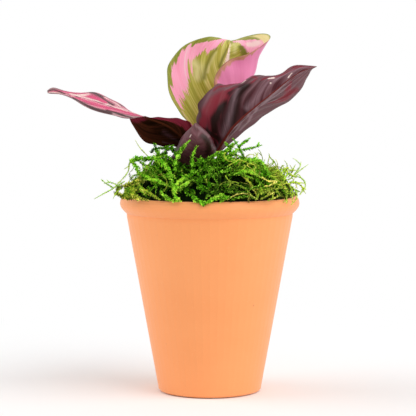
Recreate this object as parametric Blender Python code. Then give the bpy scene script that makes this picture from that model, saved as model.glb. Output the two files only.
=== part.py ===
"""A young potted calathea: four leaf blades on their stalks, growing through a cushion of strand moss
that covers the soil of a terracotta pot.

Frame: +Z up, origin at the middle of the pot's underside. -Y is the front. Lengths below are in
millimetres and become metres where each mesh is made.
"""

import math

import bmesh
import bpy
import numpy as np
from mathutils import Vector

MM = 0.001
GAP = 0.35  # clearance between pieces that rest on each other

# Terracotta pot
POT_HEIGHT = 141.5
FOOT_RADIUS = 35.8  # where the underside meets the table
FOOT_ROUND = 2.4
BODY_RADIUS = 37.1  # of the tapered wall, carried down to the table
BODY_TAPER = 0.181  # radius gained per unit of height
COLLAR_BOTTOM = 129.3  # the groove under the thick rim
COLLAR_RADIUS = 65.0
COLLAR_FLARE = 5.2  # height over which the collar's underside slants out
MOUTH_RADIUS = 59.0
LIP_ROUND = 2.9
FLOOR = 8.0
INNER_TAPER = 0.2
DRAIN_HOLES = 3
DRAIN_RADIUS = 3.6
DRAIN_CIRCLE = 15.0
POT_SEGMENTS = 56

# Soil
SOIL_TOP = 122.0
SOIL_DOME = 1.5

# Moss cushion: sectors of a low dome that overhangs the rim
MOSS_SECTORS = ("front", "front_right", "right", "back_right", "back", "back_left", "left", "front_left")
MOSS_CROWN = 167.0
MOSS_SHOULDER = 42.0  # radius where the dome starts to fall
MOSS_REACH = 67.0
MOSS_WELL = 17.0  # radius left open round the stalks
MOSS_LUMP = 2.0
LEAN_TURN = math.radians(-120)  # the well opens wide on this side, under the low front leaf
LEAN_ROOM = 22.0

# Leaf blades
BLADE_EDGE = 0.7
BLADE_RIB = 1.9
RIB_SHARE = 0.07  # of the half-width that the midrib takes
BLADE_ROWS = 22
BLADE_COLUMNS = 5  # per half
BLADE_START, BLADE_END = 0.02, 0.985

# Each blade is a sheet between three curves, each a list of points from the base to the tip: the
# midrib and the two margins, left and right as seen from the upper face with the tip up. The belly is
# how far each half bows out towards the upper face, in the middle between midrib and margin. The stalk
# runs from its foot on the soil through one more point, and ends the seat's length short of the blade.
LEAVES = {
    "back": {
        "midrib": [(-8, 10, 174), (-6, 16, 183), (-3, 22, 195), (1, 27, 207), (5, 32, 220),
                   (10, 36, 234), (14, 41, 247), (15.5, 50, 252.5), (15.5, 59, 254.2)],
        "left": [(-8, 10, 174), (-9.5, 10, 183), (-12.5, 10, 191.5), (-16.5, 10, 196), (-21.5, 10, 201),
                 (-26.5, 10, 208.5), (-30, 10, 218), (-31, 11.5, 228), (-29.5, 14, 237), (-24.5, 18, 244.5),
                 (-17, 23, 251), (-7, 28.5, 255.5), (2, 35, 257), (7.5, 42, 256), (11.5, 49, 254.6),
                 (13.8, 54.5, 254.4), (15.5, 59, 254.2)],
        "right": [(-8, 10, 174), (-4, 9.5, 182), (-1, 9, 189), (2, 8.5, 197), (4, 8, 205),
                  (3.5, 8.5, 213), (3, 9, 221), (4.5, 10, 229), (10, 11, 236.5), (17.5, 12.5, 241),
                  (27, 15, 244), (36, 18.5, 248.5), (43.8, 24, 255), (41.5, 33, 259), (30.5, 42, 258.2),
                  (21, 51, 255.2), (15.5, 59, 254.2)],
        "left_belly": [0, -2, -3, -4, -4, -3, 0, 1, 0],
        "right_belly": [0, -7, -13, -17, -20, -18, -8, -1, 0],
        "foot": (-1, 7),
        "seat": 1.3,
        "stalk": (-5, 7, 150),
    },
    "right": {
        "midrib": [(2, -10, 169), (7, -15, 177), (14, -21, 188.5), (23, -26, 198.5), (34.5, -30, 208.5),
                   (48, -33, 219.5), (62, -34, 230), (76, -32, 235)],
        "left": [(2, -10, 169), (8, -7.5, 173.5), (15.5, -4.5, 180), (23.5, -0.5, 187), (32.5, 2.5, 193.5),
                 (40, 4.5, 199.5), (48.5, 4.5, 205), (57.8, 1.5, 209.8), (64.5, -5, 217.2), (69, -14, 225.5),
                 (72, -23, 232), (76, -32, 235)],
        "right": [(2, -10, 169), (-4, -7.5, 181), (-8.5, -5, 190), (-10, -4, 198), (-8, -5, 202.5),
                  (-8.5, -3.5, 207.5), (-6, -4, 211.5), (-2, -5.5, 216), (2, -6, 220), (6, -7.5, 222.5),
                  (10.5, -8.5, 221.5), (16, -10, 222.5), (22, -12, 223.5), (28, -13, 227.5),
                  (34.5, -14.5, 228.3), (42.5, -18.5, 226.4), (51, -21.5, 229.5), (58, -24, 235),
                  (67.5, -28, 235), (76, -32, 234.5)],
        "left_belly": [0, 1, 2, 3, 3, 2, 1, 0],
        "right_belly": [0, -2, -4, -5, -5, -4, -2, 0],
        "foot": (5, -1),
        "seat": 1.6,
        "stalk": (4, -5, 146),
    },
    "left": {
        "midrib": [(-13, -6, 180), (-21, -9, 185), (-28, -13, 191), (-38, -18, 196), (-47, -22, 199.5),
                   (-63, -26, 205.5), (-82, -28, 211), (-100, -29, 215), (-116, -29, 216)],
        "left": [(-13, -6, 180), (-12, -3.5, 189), (-15, -1.5, 195), (-20.5, -1, 197), (-27.5, -2, 198),
                 (-35, -5.5, 198.5), (-42.5, -12.5, 198.5), (-49, -22, 199), (-55, -32, 198),
                 (-63, -39.5, 199.5), (-73.5, -43, 202), (-85, -42.5, 206), (-95.5, -39, 211.5),
                 (-105.5, -34.5, 215.7), (-116, -29, 216)],
        "right": [(-13, -6, 180), (-15.5, -1, 178), (-19.5, 2.5, 177), (-24, 5.5, 176.5), (-29, 7.5, 177),
                  (-34, 8.5, 177), (-39.5, 9.5, 177.6), (-45.5, 10, 179.4), (-51.2, 9, 184), (-55, 7, 190),
                  (-57.5, 4.5, 197), (-60.5, 1.5, 204), (-66, -1.5, 208.5), (-73, -5.5, 211.5),
                  (-81.5, -9, 216), (-90.5, -12.5, 215.5), (-98, -15.5, 215.5), (-104.5, -20, 217.8),
                  (-111, -24.5, 220.2), (-116, -29, 216)],
        "left_belly": [0, -1, -1, 0, 0, 1, 1, 0, 0],
        "right_belly": [0, -2, -3, -3, -2, 1, 2, 1, 0],
        "foot": (-7, 0),
        "seat": 1.7,
        "stalk": (-9, -2, 152),
    },
    "front": {
        "midrib": [(-14, -8, 153), (-12, -18, 163), (-11, -27, 172), (-10, -33, 179), (-9, -35, 185),
                   (-9, -30, 191), (-10, -19, 195)],
        "left": [(-14, -8, 153), (-5, -11, 161), (4, -15, 171), (4, -19, 178), (1, -23, 184),
                 (-4, -22, 189), (-10, -19, 195)],
        "right": [(-14, -8, 153), (-21, -12, 159), (-27, -17, 168), (-24, -21, 177), (-20, -23, 184),
                  (-14, -21, 190), (-10, -19, 195)],
        "left_belly": [0, -2, -3, -4, -4, -2, 0],
        "right_belly": [0, -2, -3, -4, -4, -2, 0],
        "foot": (-3, -7),
        "seat": 1.9,
        "stalk": (-9, -6, 138),
    },
}

# Stalks
STALK_FOOT_RADIUS = 2.9
STALK_TOP_RADIUS = 1.5
STALK_POINTS = 12
STALK_APPROACH = 7.0  # the last stretch, in line with the midrib

# Loose sprigs of moss that stand clear of the cushion: where each foot sits and its rise above the
# cushion there, then the points that the sprig runs through
SPRIGS = {
    "sprig_fork": ((26, -41, 0.6), [(21.5, -41.5, 177), (16, -42, 184.5)]),
    "sprig_over_leaf": ((-27, -43, 0.3), [(-24, -44, 175), (-19, -44, 180), (-14, -43, 183)]),
    "sprig_left": ((-44, -24, 1.1), [(-49, -22, 178), (-54, -20, 183)]),
    "sprig_far_left": ((-59, -29, 1.15), [(-68, -31, 151), (-75, -29, 146), (-82, -26, 141)]),
    "sprig_right": ((57, -19, 1.15), [(64, -19, 159), (70, -17, 164)]),
    "sprig_over_rim": ((56, -33, 1.1), [(61, -36, 148), (61, -38, 143), (58, -41, 138)]),
}
SPRIG_RADIUS = 0.8

COLOURS = {
    "terracotta": ((0.72, 0.33, 0.16), 0.85),
    "soil": ((0.045, 0.028, 0.018), 0.95),
    "leaf": ((0.16, 0.05, 0.09), 0.4),
    "stalk": ((0.2, 0.06, 0.07), 0.5),
    "moss": ((0.13, 0.32, 0.03), 0.9),
}


def material(slot):
    """The slot's Principled material, made once."""
    if slot in bpy.data.materials:
        return bpy.data.materials[slot]
    colour, roughness = COLOURS[slot]
    made = bpy.data.materials.new(slot)
    made.use_nodes = True
    shader = made.node_tree.nodes["Principled BSDF"]
    shader.inputs["Base Color"].default_value = (*colour, 1.0)
    shader.inputs["Roughness"].default_value = roughness
    shader.inputs["Metallic"].default_value = 0.0
    return made


def piece(name, points, faces, slot):
    """A named object from points in millimetres, with its faces turned outwards and shaded smooth."""
    mesh = bpy.data.meshes.new(name)
    mesh.from_pydata([Vector(p) * MM for p in points], [], faces)
    shape = bmesh.new()
    shape.from_mesh(mesh)
    bmesh.ops.recalc_face_normals(shape, faces=shape.faces)
    bmesh.ops.triangulate(shape, faces=[f for f in shape.faces if len(f.verts) > 4])
    shape.to_mesh(mesh)
    shape.free()
    mesh.materials.append(material(slot))
    mesh.shade_smooth()
    mesh.set_sharp_from_angle(angle=math.radians(40))
    made = bpy.data.objects.new(name, mesh)
    bpy.context.scene.collection.objects.link(made)
    return made


def turned(name, profile, slot, segments):
    """Spins a (radius, height) outline, whose ends lie on the axis, into a closed solid."""
    shape = bmesh.new()
    line = [shape.verts.new((r * MM, 0, z * MM)) for r, z in profile]
    edges = [shape.edges.new(pair) for pair in zip(line, line[1:])]
    bmesh.ops.spin(
        shape, geom=line + edges, cent=(0, 0, 0), axis=(0, 0, 1), angle=2 * math.pi, steps=segments
    )
    bmesh.ops.remove_doubles(shape, verts=shape.verts, dist=1e-6)
    points = [v.co / MM for v in shape.verts]
    shape.verts.index_update()
    faces = [[v.index for v in f.verts] for f in shape.faces]
    shape.free()
    return piece(name, points, faces, slot)


def arc(centre, radius, start, end, steps):
    """Points on a circle in (radius, height), from one angle to another in degrees."""
    angles = np.radians(np.linspace(start, end, steps + 1))
    return [(centre[0] + radius * math.cos(a), centre[1] + radius * math.sin(a)) for a in angles]


def inner_radius(height):
    """Radius of the pot's inside wall."""
    return MOUTH_RADIUS - 0.4 - INNER_TAPER * (POT_HEIGHT - LIP_ROUND - height)


def make_pot():
    """The pot: a round-cornered foot, a tapered wall, a groove and a thick collar with a soft lip."""
    foot = arc((FOOT_RADIUS - 0.6, FOOT_ROUND), FOOT_ROUND, -90, 10, 3)
    neck = BODY_RADIUS + BODY_TAPER * COLLAR_BOTTOM
    collar_low = COLLAR_BOTTOM + COLLAR_FLARE
    outline = [(0, 0), *foot]
    outline += [(BODY_RADIUS + BODY_TAPER * z, z) for z in (40, 80, 115, COLLAR_BOTTOM - 2.5)]
    outline += [(neck - 0.4, COLLAR_BOTTOM), (neck + 0.4, COLLAR_BOTTOM + 0.5), (62.4, 131.3)]
    outline += [(63.8, 133.0), (64.6, collar_low), (COLLAR_RADIUS, collar_low + 1.8)]
    outline += [(64.6, 138.6), (63.7, 140.4)]
    outline += arc((MOUTH_RADIUS + LIP_ROUND, POT_HEIGHT - LIP_ROUND), LIP_ROUND, 75, 180, 5)
    floor_round = 4.0
    corner = inner_radius(FLOOR + floor_round)
    outline += [(inner_radius(z), z) for z in (120, 90, 50)]
    outline += arc((corner - floor_round, FLOOR + floor_round), floor_round, 0, -90, 3)
    outline += [(0, FLOOR)]
    pot = turned("pot", outline, "terracotta", POT_SEGMENTS)
    for index in range(DRAIN_HOLES):
        turn = 2 * math.pi * index / DRAIN_HOLES
        x, y = DRAIN_CIRCLE * math.cos(turn), DRAIN_CIRCLE * math.sin(turn)
        drill(pot, f"drain_cutter_{index + 1}", (x, y, FLOOR / 2), DRAIN_RADIUS, 2 * FLOOR)
    return pot


def drill(target, name, centre, radius, depth):
    """Cuts an upright round hole with a hidden cylinder."""
    mesh = bpy.data.meshes.new(name)
    shape = bmesh.new()
    bmesh.ops.create_cone(
        shape, cap_ends=True, segments=16, radius1=radius * MM, radius2=radius * MM, depth=depth * MM
    )
    shape.to_mesh(mesh)
    shape.free()
    cutter = bpy.data.objects.new(name, mesh)
    cutter.location = Vector(centre) * MM
    cutter.hide_render = True
    cutter.display_type = "WIRE"
    bpy.context.scene.collection.objects.link(cutter)
    cut = target.modifiers.new(name, "BOOLEAN")
    cut.operation = "DIFFERENCE"
    cut.solver = "EXACT"
    cut.object = cutter


def make_soil():
    """The soil that fills the pot below the moss, with a slightly domed top."""
    floor_round = 4.0
    low = FLOOR + GAP
    corner = inner_radius(FLOOR + floor_round) - GAP
    outline = [(0, low)]
    outline += arc((corner - floor_round, low + floor_round), floor_round, -90, 0, 3)
    outline += [(inner_radius(z) - GAP, z) for z in (50, 90, SOIL_TOP - SOIL_DOME)]
    outline += [(0.66 * inner_radius(SOIL_TOP), SOIL_TOP - 0.4), (0, SOIL_TOP)]
    return turned("soil", outline, "soil", 40)


def moss_top(radius, turn):
    """Height of the moss cushion's upper face."""
    fall = max(0.0, radius - MOSS_SHOULDER) / (MOSS_REACH - MOSS_SHOULDER)
    lump = MOSS_LUMP * math.sin(5 * turn + 0.11 * radius) * math.cos(0.21 * radius + 2 * turn)
    return MOSS_CROWN - 21.0 * fall**1.8 + lump * (1 - 0.7 * fall)


def moss_section(turn):
    """The cushion's (radius, height) outline at one angle: over the soil, up the wall, over the lip."""
    well_top = MOSS_WELL + LEAN_ROOM * max(0.0, math.cos(turn - LEAN_TURN)) ** 1.5
    over = POT_HEIGHT + GAP + 0.3
    floor = SOIL_TOP + GAP
    outline = [(MOSS_WELL, 137.0), (MOSS_WELL, floor), (inner_radius(floor) - GAP - 0.3, floor)]
    outline += [(MOUTH_RADIUS - 1.1, 137.5), (MOUTH_RADIUS - 0.6, over - 0.6), (MOUTH_RADIUS + 1.4, over)]
    outline += [(MOSS_REACH - 1.5, over), (MOSS_REACH, over + 2.0)]
    outline += [(r, moss_top(r, turn)) for r in (65.0, 60.0, 53.0, 45.0)]
    outline += [(max(36.0, well_top + 2.0), moss_top(36.0, turn)), (well_top, moss_top(well_top, turn) - 5.0)]
    return outline


def make_moss():
    """The cushion in eight clumps, side by side with a small gap."""
    step = 2 * math.pi / len(MOSS_SECTORS)
    slices = 5
    for index, side in enumerate(MOSS_SECTORS):
        middle = -math.pi / 2 + index * step
        rings = []
        for cut in range(slices):
            turn = middle + step * (cut / (slices - 1) - 0.5)
            shift = GAP * (1 - 2 * cut / (slices - 1))
            across = (-math.sin(turn), math.cos(turn))
            rings.append(
                [
                    (r * math.cos(turn) + shift * across[0], r * math.sin(turn) + shift * across[1], z)
                    for r, z in moss_section(turn)
                ]
            )
        count = len(rings[0])
        points = [p for ring in rings for p in ring]
        faces = []
        for cut in range(slices - 1):
            here, after = cut * count, (cut + 1) * count
            for b in range(count):
                ahead = (b + 1) % count
                faces.append([here + b, here + ahead, after + ahead, after + b])
        faces += [list(range(count)), list(range((slices - 1) * count, slices * count))]
        piece(f"moss_{side}", points, faces, "moss")


def smooth_curve(keys, share):
    """Natural cubic spline through evenly spaced keys, read at shares from 0 to 1."""
    keys = np.asarray(keys, float)
    values = keys.reshape(len(keys), -1)
    count = len(keys)
    system = np.eye(count)
    bend = np.zeros_like(values)
    for k in range(1, count - 1):
        system[k, k - 1 : k + 2] = 1, 4, 1
        bend[k] = 6 * (values[k + 1] - 2 * values[k] + values[k - 1])
    bend = np.linalg.solve(system, bend)
    place = np.clip(np.asarray(share, float), 0, 1) * (count - 1)
    low = np.minimum(place.astype(int), count - 2)
    part = (place - low)[:, None]
    curve = (bend[low] * (1 - part) ** 3 + bend[low + 1] * part**3) / 6
    curve += (values[low] - bend[low] / 6) * (1 - part) + (values[low + 1] - bend[low + 1] / 6) * part
    return curve.reshape(len(place), *keys.shape[1:])


def unit(vectors):
    return vectors / np.linalg.norm(vectors, axis=-1, keepdims=True)


def blade_grid(leaf, rows, columns):
    """Points of a blade's middle surface, row by row from base to tip, left margin to right margin."""
    share = np.linspace(BLADE_START, BLADE_END, rows + 1)
    midrib = smooth_curve(leaf["midrib"], share)
    along = unit(np.gradient(midrib, axis=0))
    across = np.linspace(0, 1, columns + 1)[:, None]
    halves = []
    for side, sign in (("left", -1), ("right", 1)):
        reach = smooth_curve(leaf[side], share) - midrib
        belly = smooth_curve(leaf[side + "_belly"], share)
        upward = sign * unit(np.cross(reach, along))
        bow = 4 * across * (1 - across) * (belly[:, None] * upward)[:, None]
        halves.append(midrib[:, None] + reach[:, None] * across + bow)
    return np.concatenate([halves[0][:, ::-1], halves[1][:, 1:]], axis=1)


def make_blade(name, leaf):
    """A blade as a thin solid: two faces around the middle surface, thickest along the midrib."""
    rows, width = BLADE_ROWS + 1, 2 * BLADE_COLUMNS + 1
    grid = blade_grid(leaf, BLADE_ROWS, BLADE_COLUMNS)
    upward = unit(np.cross(np.gradient(grid, axis=1), np.gradient(grid, axis=0)))
    from_rib = np.abs(np.linspace(-1, 1, width)) / RIB_SHARE
    taper = np.linspace(1, 0.25, rows)[:, None]
    thick = BLADE_EDGE + (BLADE_RIB - BLADE_EDGE) * taper * np.exp(-(from_rib**2))[None]
    upper = grid + 0.5 * BLADE_EDGE * upward
    lower = upper - thick[..., None] * upward
    points = [tuple(p) for p in np.concatenate([upper.reshape(-1, 3), lower.reshape(-1, 3)])]
    under = rows * width
    faces = []
    for i in range(rows - 1):
        for j in range(width - 1):
            a, b = i * width + j, (i + 1) * width + j
            faces.append([a, a + 1, b + 1, b])
            faces.append([under + a, under + b, under + b + 1, under + a + 1])
    rim = [(0, j) for j in range(width)] + [(i, width - 1) for i in range(1, rows)]
    rim += [(rows - 1, j) for j in range(width - 2, -1, -1)] + [(i, 0) for i in range(rows - 2, 0, -1)]
    edge = [i * width + j for i, j in rim]
    for a, b in zip(edge, edge[1:] + edge[:1]):
        faces.append([b, a, under + a, under + b])
    return piece(name, points, faces, "leaf")


def tube(name, path, radii, slot, sides=8, start=None):
    """A closed round tube along a list of points, with a radius at each, its first end square to start."""
    path = np.asarray(path, float)
    along = unit(np.gradient(path, axis=0))
    if start is not None:
        along[0] = start
    hint = np.array([1.0, 0.0, 0.0]) if abs(along[0][0]) < 0.8 else np.array([0.0, 1.0, 0.0])
    points = []
    for centre, direction, radius in zip(path, along, radii):
        first = unit(hint - direction * hint.dot(direction))
        second = np.cross(direction, first)
        hint = first
        for side in range(sides):
            turn = 2 * math.pi * side / sides
            points.append(tuple(centre + radius * (math.cos(turn) * first + math.sin(turn) * second)))
    last = (len(path) - 1) * sides
    faces = [
        [k * sides + s, k * sides + (s + 1) % sides, (k + 1) * sides + (s + 1) % sides, (k + 1) * sides + s]
        for k in range(len(path) - 1)
        for s in range(sides)
    ]
    faces += [list(range(sides)), list(range(last, last + sides))]
    return piece(name, points, faces, slot)


def make_stalk(name, leaf):
    """A stalk from the soil to the blade's base, stout at its sheathing foot."""
    foot = (*leaf["foot"], SOIL_TOP + GAP)
    base = smooth_curve(leaf["midrib"], [BLADE_START])[0]
    ahead = unit(np.subtract(leaf["midrib"][1], leaf["midrib"][0]))
    share = np.linspace(0, 1, STALK_POINTS)
    keys = [foot, leaf["stalk"], base - ahead * STALK_APPROACH, base - ahead * leaf["seat"]]
    path = smooth_curve([tuple(key) for key in keys], share)
    radii = STALK_TOP_RADIUS + (STALK_FOOT_RADIUS - STALK_TOP_RADIUS) * (1 - share) ** 1.5
    return tube(name, path, radii, "stalk", start=(0, 0, 1))


def make_sprig(name, foot, keys):
    """A loose sprig of moss, its foot resting on the cushion."""
    x, y, rise = foot
    height = moss_top(math.hypot(x, y), math.atan2(y, x)) + rise
    path = smooth_curve([(x, y, height), *keys], np.linspace(0, 1, 10))
    return tube(name, path, np.linspace(1.0, 0.5, 10) * SPRIG_RADIUS, "moss", sides=6)


def clear_scene():
    for old in list(bpy.data.objects):
        bpy.data.objects.remove(old, do_unlink=True)


def main():
    clear_scene()
    make_pot()
    make_soil()
    make_moss()
    for side, leaf in LEAVES.items():
        make_blade(f"leaf_{side}", leaf)
        make_stalk(f"stalk_{side}", leaf)
    for name, (foot, keys) in SPRIGS.items():
        make_sprig(name, foot, keys)


main()
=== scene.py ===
"""Looks of the potted calathea: patterned leaf blades, strand moss and a terracotta pot.

The leaf tables are those of the CAD part, in millimetres. +Z is up and -Y is the front.
"""

import math

import bpy
import numpy as np
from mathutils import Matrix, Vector


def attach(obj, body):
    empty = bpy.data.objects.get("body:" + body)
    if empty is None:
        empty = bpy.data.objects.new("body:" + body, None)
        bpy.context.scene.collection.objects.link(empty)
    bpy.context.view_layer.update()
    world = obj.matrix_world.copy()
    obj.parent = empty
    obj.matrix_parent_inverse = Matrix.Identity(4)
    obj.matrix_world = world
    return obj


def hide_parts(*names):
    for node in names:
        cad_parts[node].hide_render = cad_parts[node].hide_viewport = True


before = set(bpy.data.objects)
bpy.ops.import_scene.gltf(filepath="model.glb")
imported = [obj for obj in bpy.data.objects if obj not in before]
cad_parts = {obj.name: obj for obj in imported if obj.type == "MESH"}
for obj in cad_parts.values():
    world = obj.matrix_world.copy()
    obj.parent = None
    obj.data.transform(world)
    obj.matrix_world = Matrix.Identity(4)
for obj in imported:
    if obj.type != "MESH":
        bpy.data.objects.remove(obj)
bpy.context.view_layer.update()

MM = 0.001

# ---- camera, light and floor

CAMERA_PLACE = (-0.00126, -1.2547, 0.2296)  # in metres
CAMERA_TILT = 85.58  # degrees up from looking straight down
CAMERA_LENS, SENSOR_WIDTH = 150.36, 36  # in millimetres
AMBIENT = 0.62  # strength of the even light from all round
FLOOR_HALF, FLOOR_LOW = 6.0, -0.0004  # half the floor's width and its height, in metres
FLOOR_FADE = (0.12, 0.4)  # where the floor starts and ends to turn white, in metres from the pot's middle


def add_object(name, data):
    made = bpy.data.objects.new(name, data)
    bpy.context.scene.collection.objects.link(made)
    return made


def make_camera():
    data = bpy.data.cameras.new("camera")
    data.lens = CAMERA_LENS
    data.sensor_width = SENSOR_WIDTH
    camera = add_object("camera", data)
    camera.location = CAMERA_PLACE
    camera.rotation_euler = (math.radians(CAMERA_TILT), 0, 0)
    bpy.context.scene.camera = camera


def make_sun(name, azimuth, elevation, spread, strength):
    """A broad soft light. Azimuth 0 shines from the front and 90 from the right, in degrees."""
    data = bpy.data.lights.new(name, "SUN")
    data.angle = math.radians(spread)
    data.energy = strength
    light = add_object(name, data)
    turn, lift = math.radians(azimuth), math.radians(elevation)
    away = Vector((math.sin(turn) * math.cos(lift), -math.cos(turn) * math.cos(lift), math.sin(lift)))
    light.rotation_euler = away.to_track_quat("Z", "Y").to_euler()
    light.location = away


def seen(tree):
    """1 for rays from the camera, from mirrors or through glass, and 0 for those that carry light."""
    path = put("LightPath", tree=tree)
    direct = maths("MAXIMUM", path.outputs["Is Camera Ray"], path.outputs["Is Glossy Ray"])
    return maths("MAXIMUM", direct, path.outputs["Is Transmission Ray"])


def make_world():
    """An even soft light, which the camera and mirrors see as white."""
    world = bpy.data.worlds.new("studio")
    world.use_nodes = True
    tree = world.node_tree
    background = tree.nodes["Background"]
    background.inputs["Color"].default_value = (1, 1, 1, 1)
    strength = put("MapRange", {"Value": seen(tree), "To Min": AMBIENT, "To Max": 1.0})
    tree.links.new(strength.outputs["Result"], background.inputs["Strength"])
    bpy.context.scene.world = world


def make_floor():
    """A pale floor that keeps the shadow under the pot and runs out into white."""
    mesh = bpy.data.meshes.new("floor")
    corners = [(x * FLOOR_HALF, y * FLOOR_HALF, FLOOR_LOW) for x, y in ((-1, -1), (1, -1), (1, 1), (-1, 1))]
    mesh.from_pydata(corners, [], [(0, 1, 2, 3)])
    material, tree, shader = new_material("floor", 0.9, 0.1)
    shader.inputs["Base Color"].default_value = (0.95, 0.95, 0.95, 1)
    place = put("TexCoord", tree=tree).outputs["Object"]
    reach = put("VectorMath", {0: place}, operation="LENGTH").outputs["Value"]
    white = put("Emission", {"Color": (1, 1, 1, 1), "Strength": 1.0}, tree)
    share = times(seen(tree), step(reach, *FLOOR_FADE))
    mixed = put("MixShader", {0: share, 1: shader.outputs[0], 2: white.outputs[0]})
    tree.links.new(mixed.outputs[0], tree.nodes["Material Output"].inputs["Surface"])
    mesh.materials.append(material)
    add_object("floor", mesh)


# ---- node helpers


def put(kind, inputs=None, tree=None, **settings):
    """A node with inputs that are plain values or sockets to link, in the given tree or in theirs."""
    inputs = inputs or {}
    linked = {key: value for key, value in inputs.items() if isinstance(value, bpy.types.NodeSocket)}
    tree = tree or next(iter(linked.values())).id_data
    made = tree.nodes.new("ShaderNode" + kind)
    for key, value in settings.items():
        setattr(made, key, value)
    for key, value in inputs.items():
        if key in linked:
            tree.links.new(value, made.inputs[key])
        else:
            made.inputs[key].default_value = value
    return made


def maths(operation, a, b=0.0):
    return put("Math", {0: a, 1: b}, operation=operation).outputs[0]


def times(a, b):
    return maths("MULTIPLY", a, b)


def plus(a, b):
    return maths("ADD", a, b)


def linear(red, green, blue):
    """Linear colour of an 8-bit sRGB one."""
    values = np.array([red, green, blue]) / 255
    values = np.where(values <= 0.04045, values / 12.92, ((values + 0.055) / 1.055) ** 2.4)
    return (*values.tolist(), 1.0)


def blend(share, a, b, mode="MIX"):
    settings = {"data_type": "RGBA", "blend_type": mode, "clamp_factor": True}
    return put("Mix", {0: share, 6: a, 7: b}, **settings).outputs[2]


def ramp(share, places, colours):
    """The colours set out at those places and read at the share."""
    made = put("ValToRGB", {"Fac": share})
    elements = made.color_ramp.elements
    while len(elements) < len(places):
        elements.new(0.5)
    for element, place, colour in zip(elements, places, colours):
        element.position = place
        element.color = colour
    return made.outputs["Color"]


def shades(share, places, colours):
    """A ramp through 8-bit sRGB colours."""
    return ramp(share, places, [linear(*colour) for colour in colours])


def step(value, low, high):
    """0 below low, 1 above high, smooth between."""
    limits = {"Value": value, "From Min": low, "From Max": high}
    return put("MapRange", limits, interpolation_type="SMOOTHSTEP").outputs["Result"]


def noise(place, scale, detail, rough, shift=0.0):
    """Noise from 0 to 1 around 0.5, read at place times scale."""
    spot = put("Mapping", {"Vector": place, "Scale": scale, "Location": (shift,) * 3})
    grain = {"Vector": spot.outputs[0], "Scale": 1.0, "Detail": detail, "Roughness": rough}
    return put("TexNoise", grain).outputs["Fac"]


def new_material(name, roughness, specular):
    material = bpy.data.materials.new(name)
    material.use_nodes = True
    shader = material.node_tree.nodes["Principled BSDF"]
    shader.inputs["Roughness"].default_value = roughness
    shader.inputs["Specular IOR Level"].default_value = specular
    return material, material.node_tree, shader


def add_bump(shader, height, distance, strength=1.0):
    bump = put("Bump", {"Height": height, "Distance": distance, "Strength": strength})
    shader.id_data.links.new(bump.outputs["Normal"], shader.inputs["Normal"])


# ---- mesh helpers


def smooth_curve(keys, share):
    """Natural cubic spline through evenly spaced keys, read at shares from 0 to 1."""
    keys = np.asarray(keys, float)
    values = keys.reshape(len(keys), -1)
    count = len(keys)
    system = np.eye(count)
    bend = np.zeros_like(values)
    for k in range(1, count - 1):
        system[k, k - 1 : k + 2] = 1, 4, 1
        bend[k] = 6 * (values[k + 1] - 2 * values[k] + values[k - 1])
    bend = np.linalg.solve(system, bend)
    place = np.clip(np.asarray(share, float), 0, 1) * (count - 1)
    low = np.minimum(place.astype(int), count - 2)
    part = (place - low)[:, None]
    curve = (bend[low] * (1 - part) ** 3 + bend[low + 1] * part**3) / 6
    curve += (values[low] - bend[low] / 6) * (1 - part) + (values[low + 1] - bend[low + 1] / 6) * part
    return curve.reshape(len(place), *keys.shape[1:])


def unit(vectors):
    return vectors / np.maximum(np.linalg.norm(vectors, axis=-1, keepdims=True), 1e-12)


def grid_quads(number):
    """The quads between a grid's numbered points."""
    corners = (number[:-1, :-1], number[:-1, 1:], number[1:, 1:], number[1:, :-1])
    return np.stack(corners, -1).reshape(-1, 4)


def tube_quads(count, sides):
    """The quads between the numbered points of a tube's rings."""
    number = np.arange(count * sides).reshape(count, sides)
    return grid_quads(np.concatenate([number, number[:, :1]], axis=1))


def build_mesh(name, points, quads, maps, floats=None, slots=None):
    """An object from arrays: points in millimetres, quads, UV maps by corner and values by point."""
    mesh = bpy.data.meshes.new(name)
    quads = np.asarray(quads, np.int32)
    mesh.vertices.add(len(points))
    mesh.vertices.foreach_set("co", (np.asarray(points) * MM).astype(np.float32).ravel())
    mesh.loops.add(quads.size)
    mesh.loops.foreach_set("vertex_index", quads.ravel())
    mesh.polygons.add(len(quads))
    mesh.polygons.foreach_set("loop_start", np.arange(0, quads.size, 4, dtype=np.int32))
    if slots is not None:
        mesh.polygons.foreach_set("material_index", np.asarray(slots, np.int32))
    mesh.update(calc_edges=True)
    for key, places in maps.items():
        layer = mesh.uv_layers.new(name=key, do_init=False)
        layer.uv.foreach_set("vector", np.asarray(places, np.float32).ravel())
    for key, values in (floats or {}).items():
        layer = mesh.attributes.new(key, "FLOAT", "POINT")
        layer.data.foreach_set("value", np.asarray(values, np.float32).ravel())
    mesh.shade_smooth()
    return add_object(name, mesh)


def settle(piece, slot, *nodes):
    """The piece rides on the part and stands for these CAD nodes, which it hides; slot is not used."""
    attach(piece, "root")
    if nodes:
        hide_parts(*nodes)


# ---- leaves

BLADE_START, BLADE_END = 0.02, 0.985
BLADE_THICK = 0.45
RIB_THICK = 1.5
RIB_SHARE = 0.045  # of the half-width that the midrib takes at mid length
MARGIN_WAVE = 0.5  # how far the margin waves up and down
BLADE_SEED = 3

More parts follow.
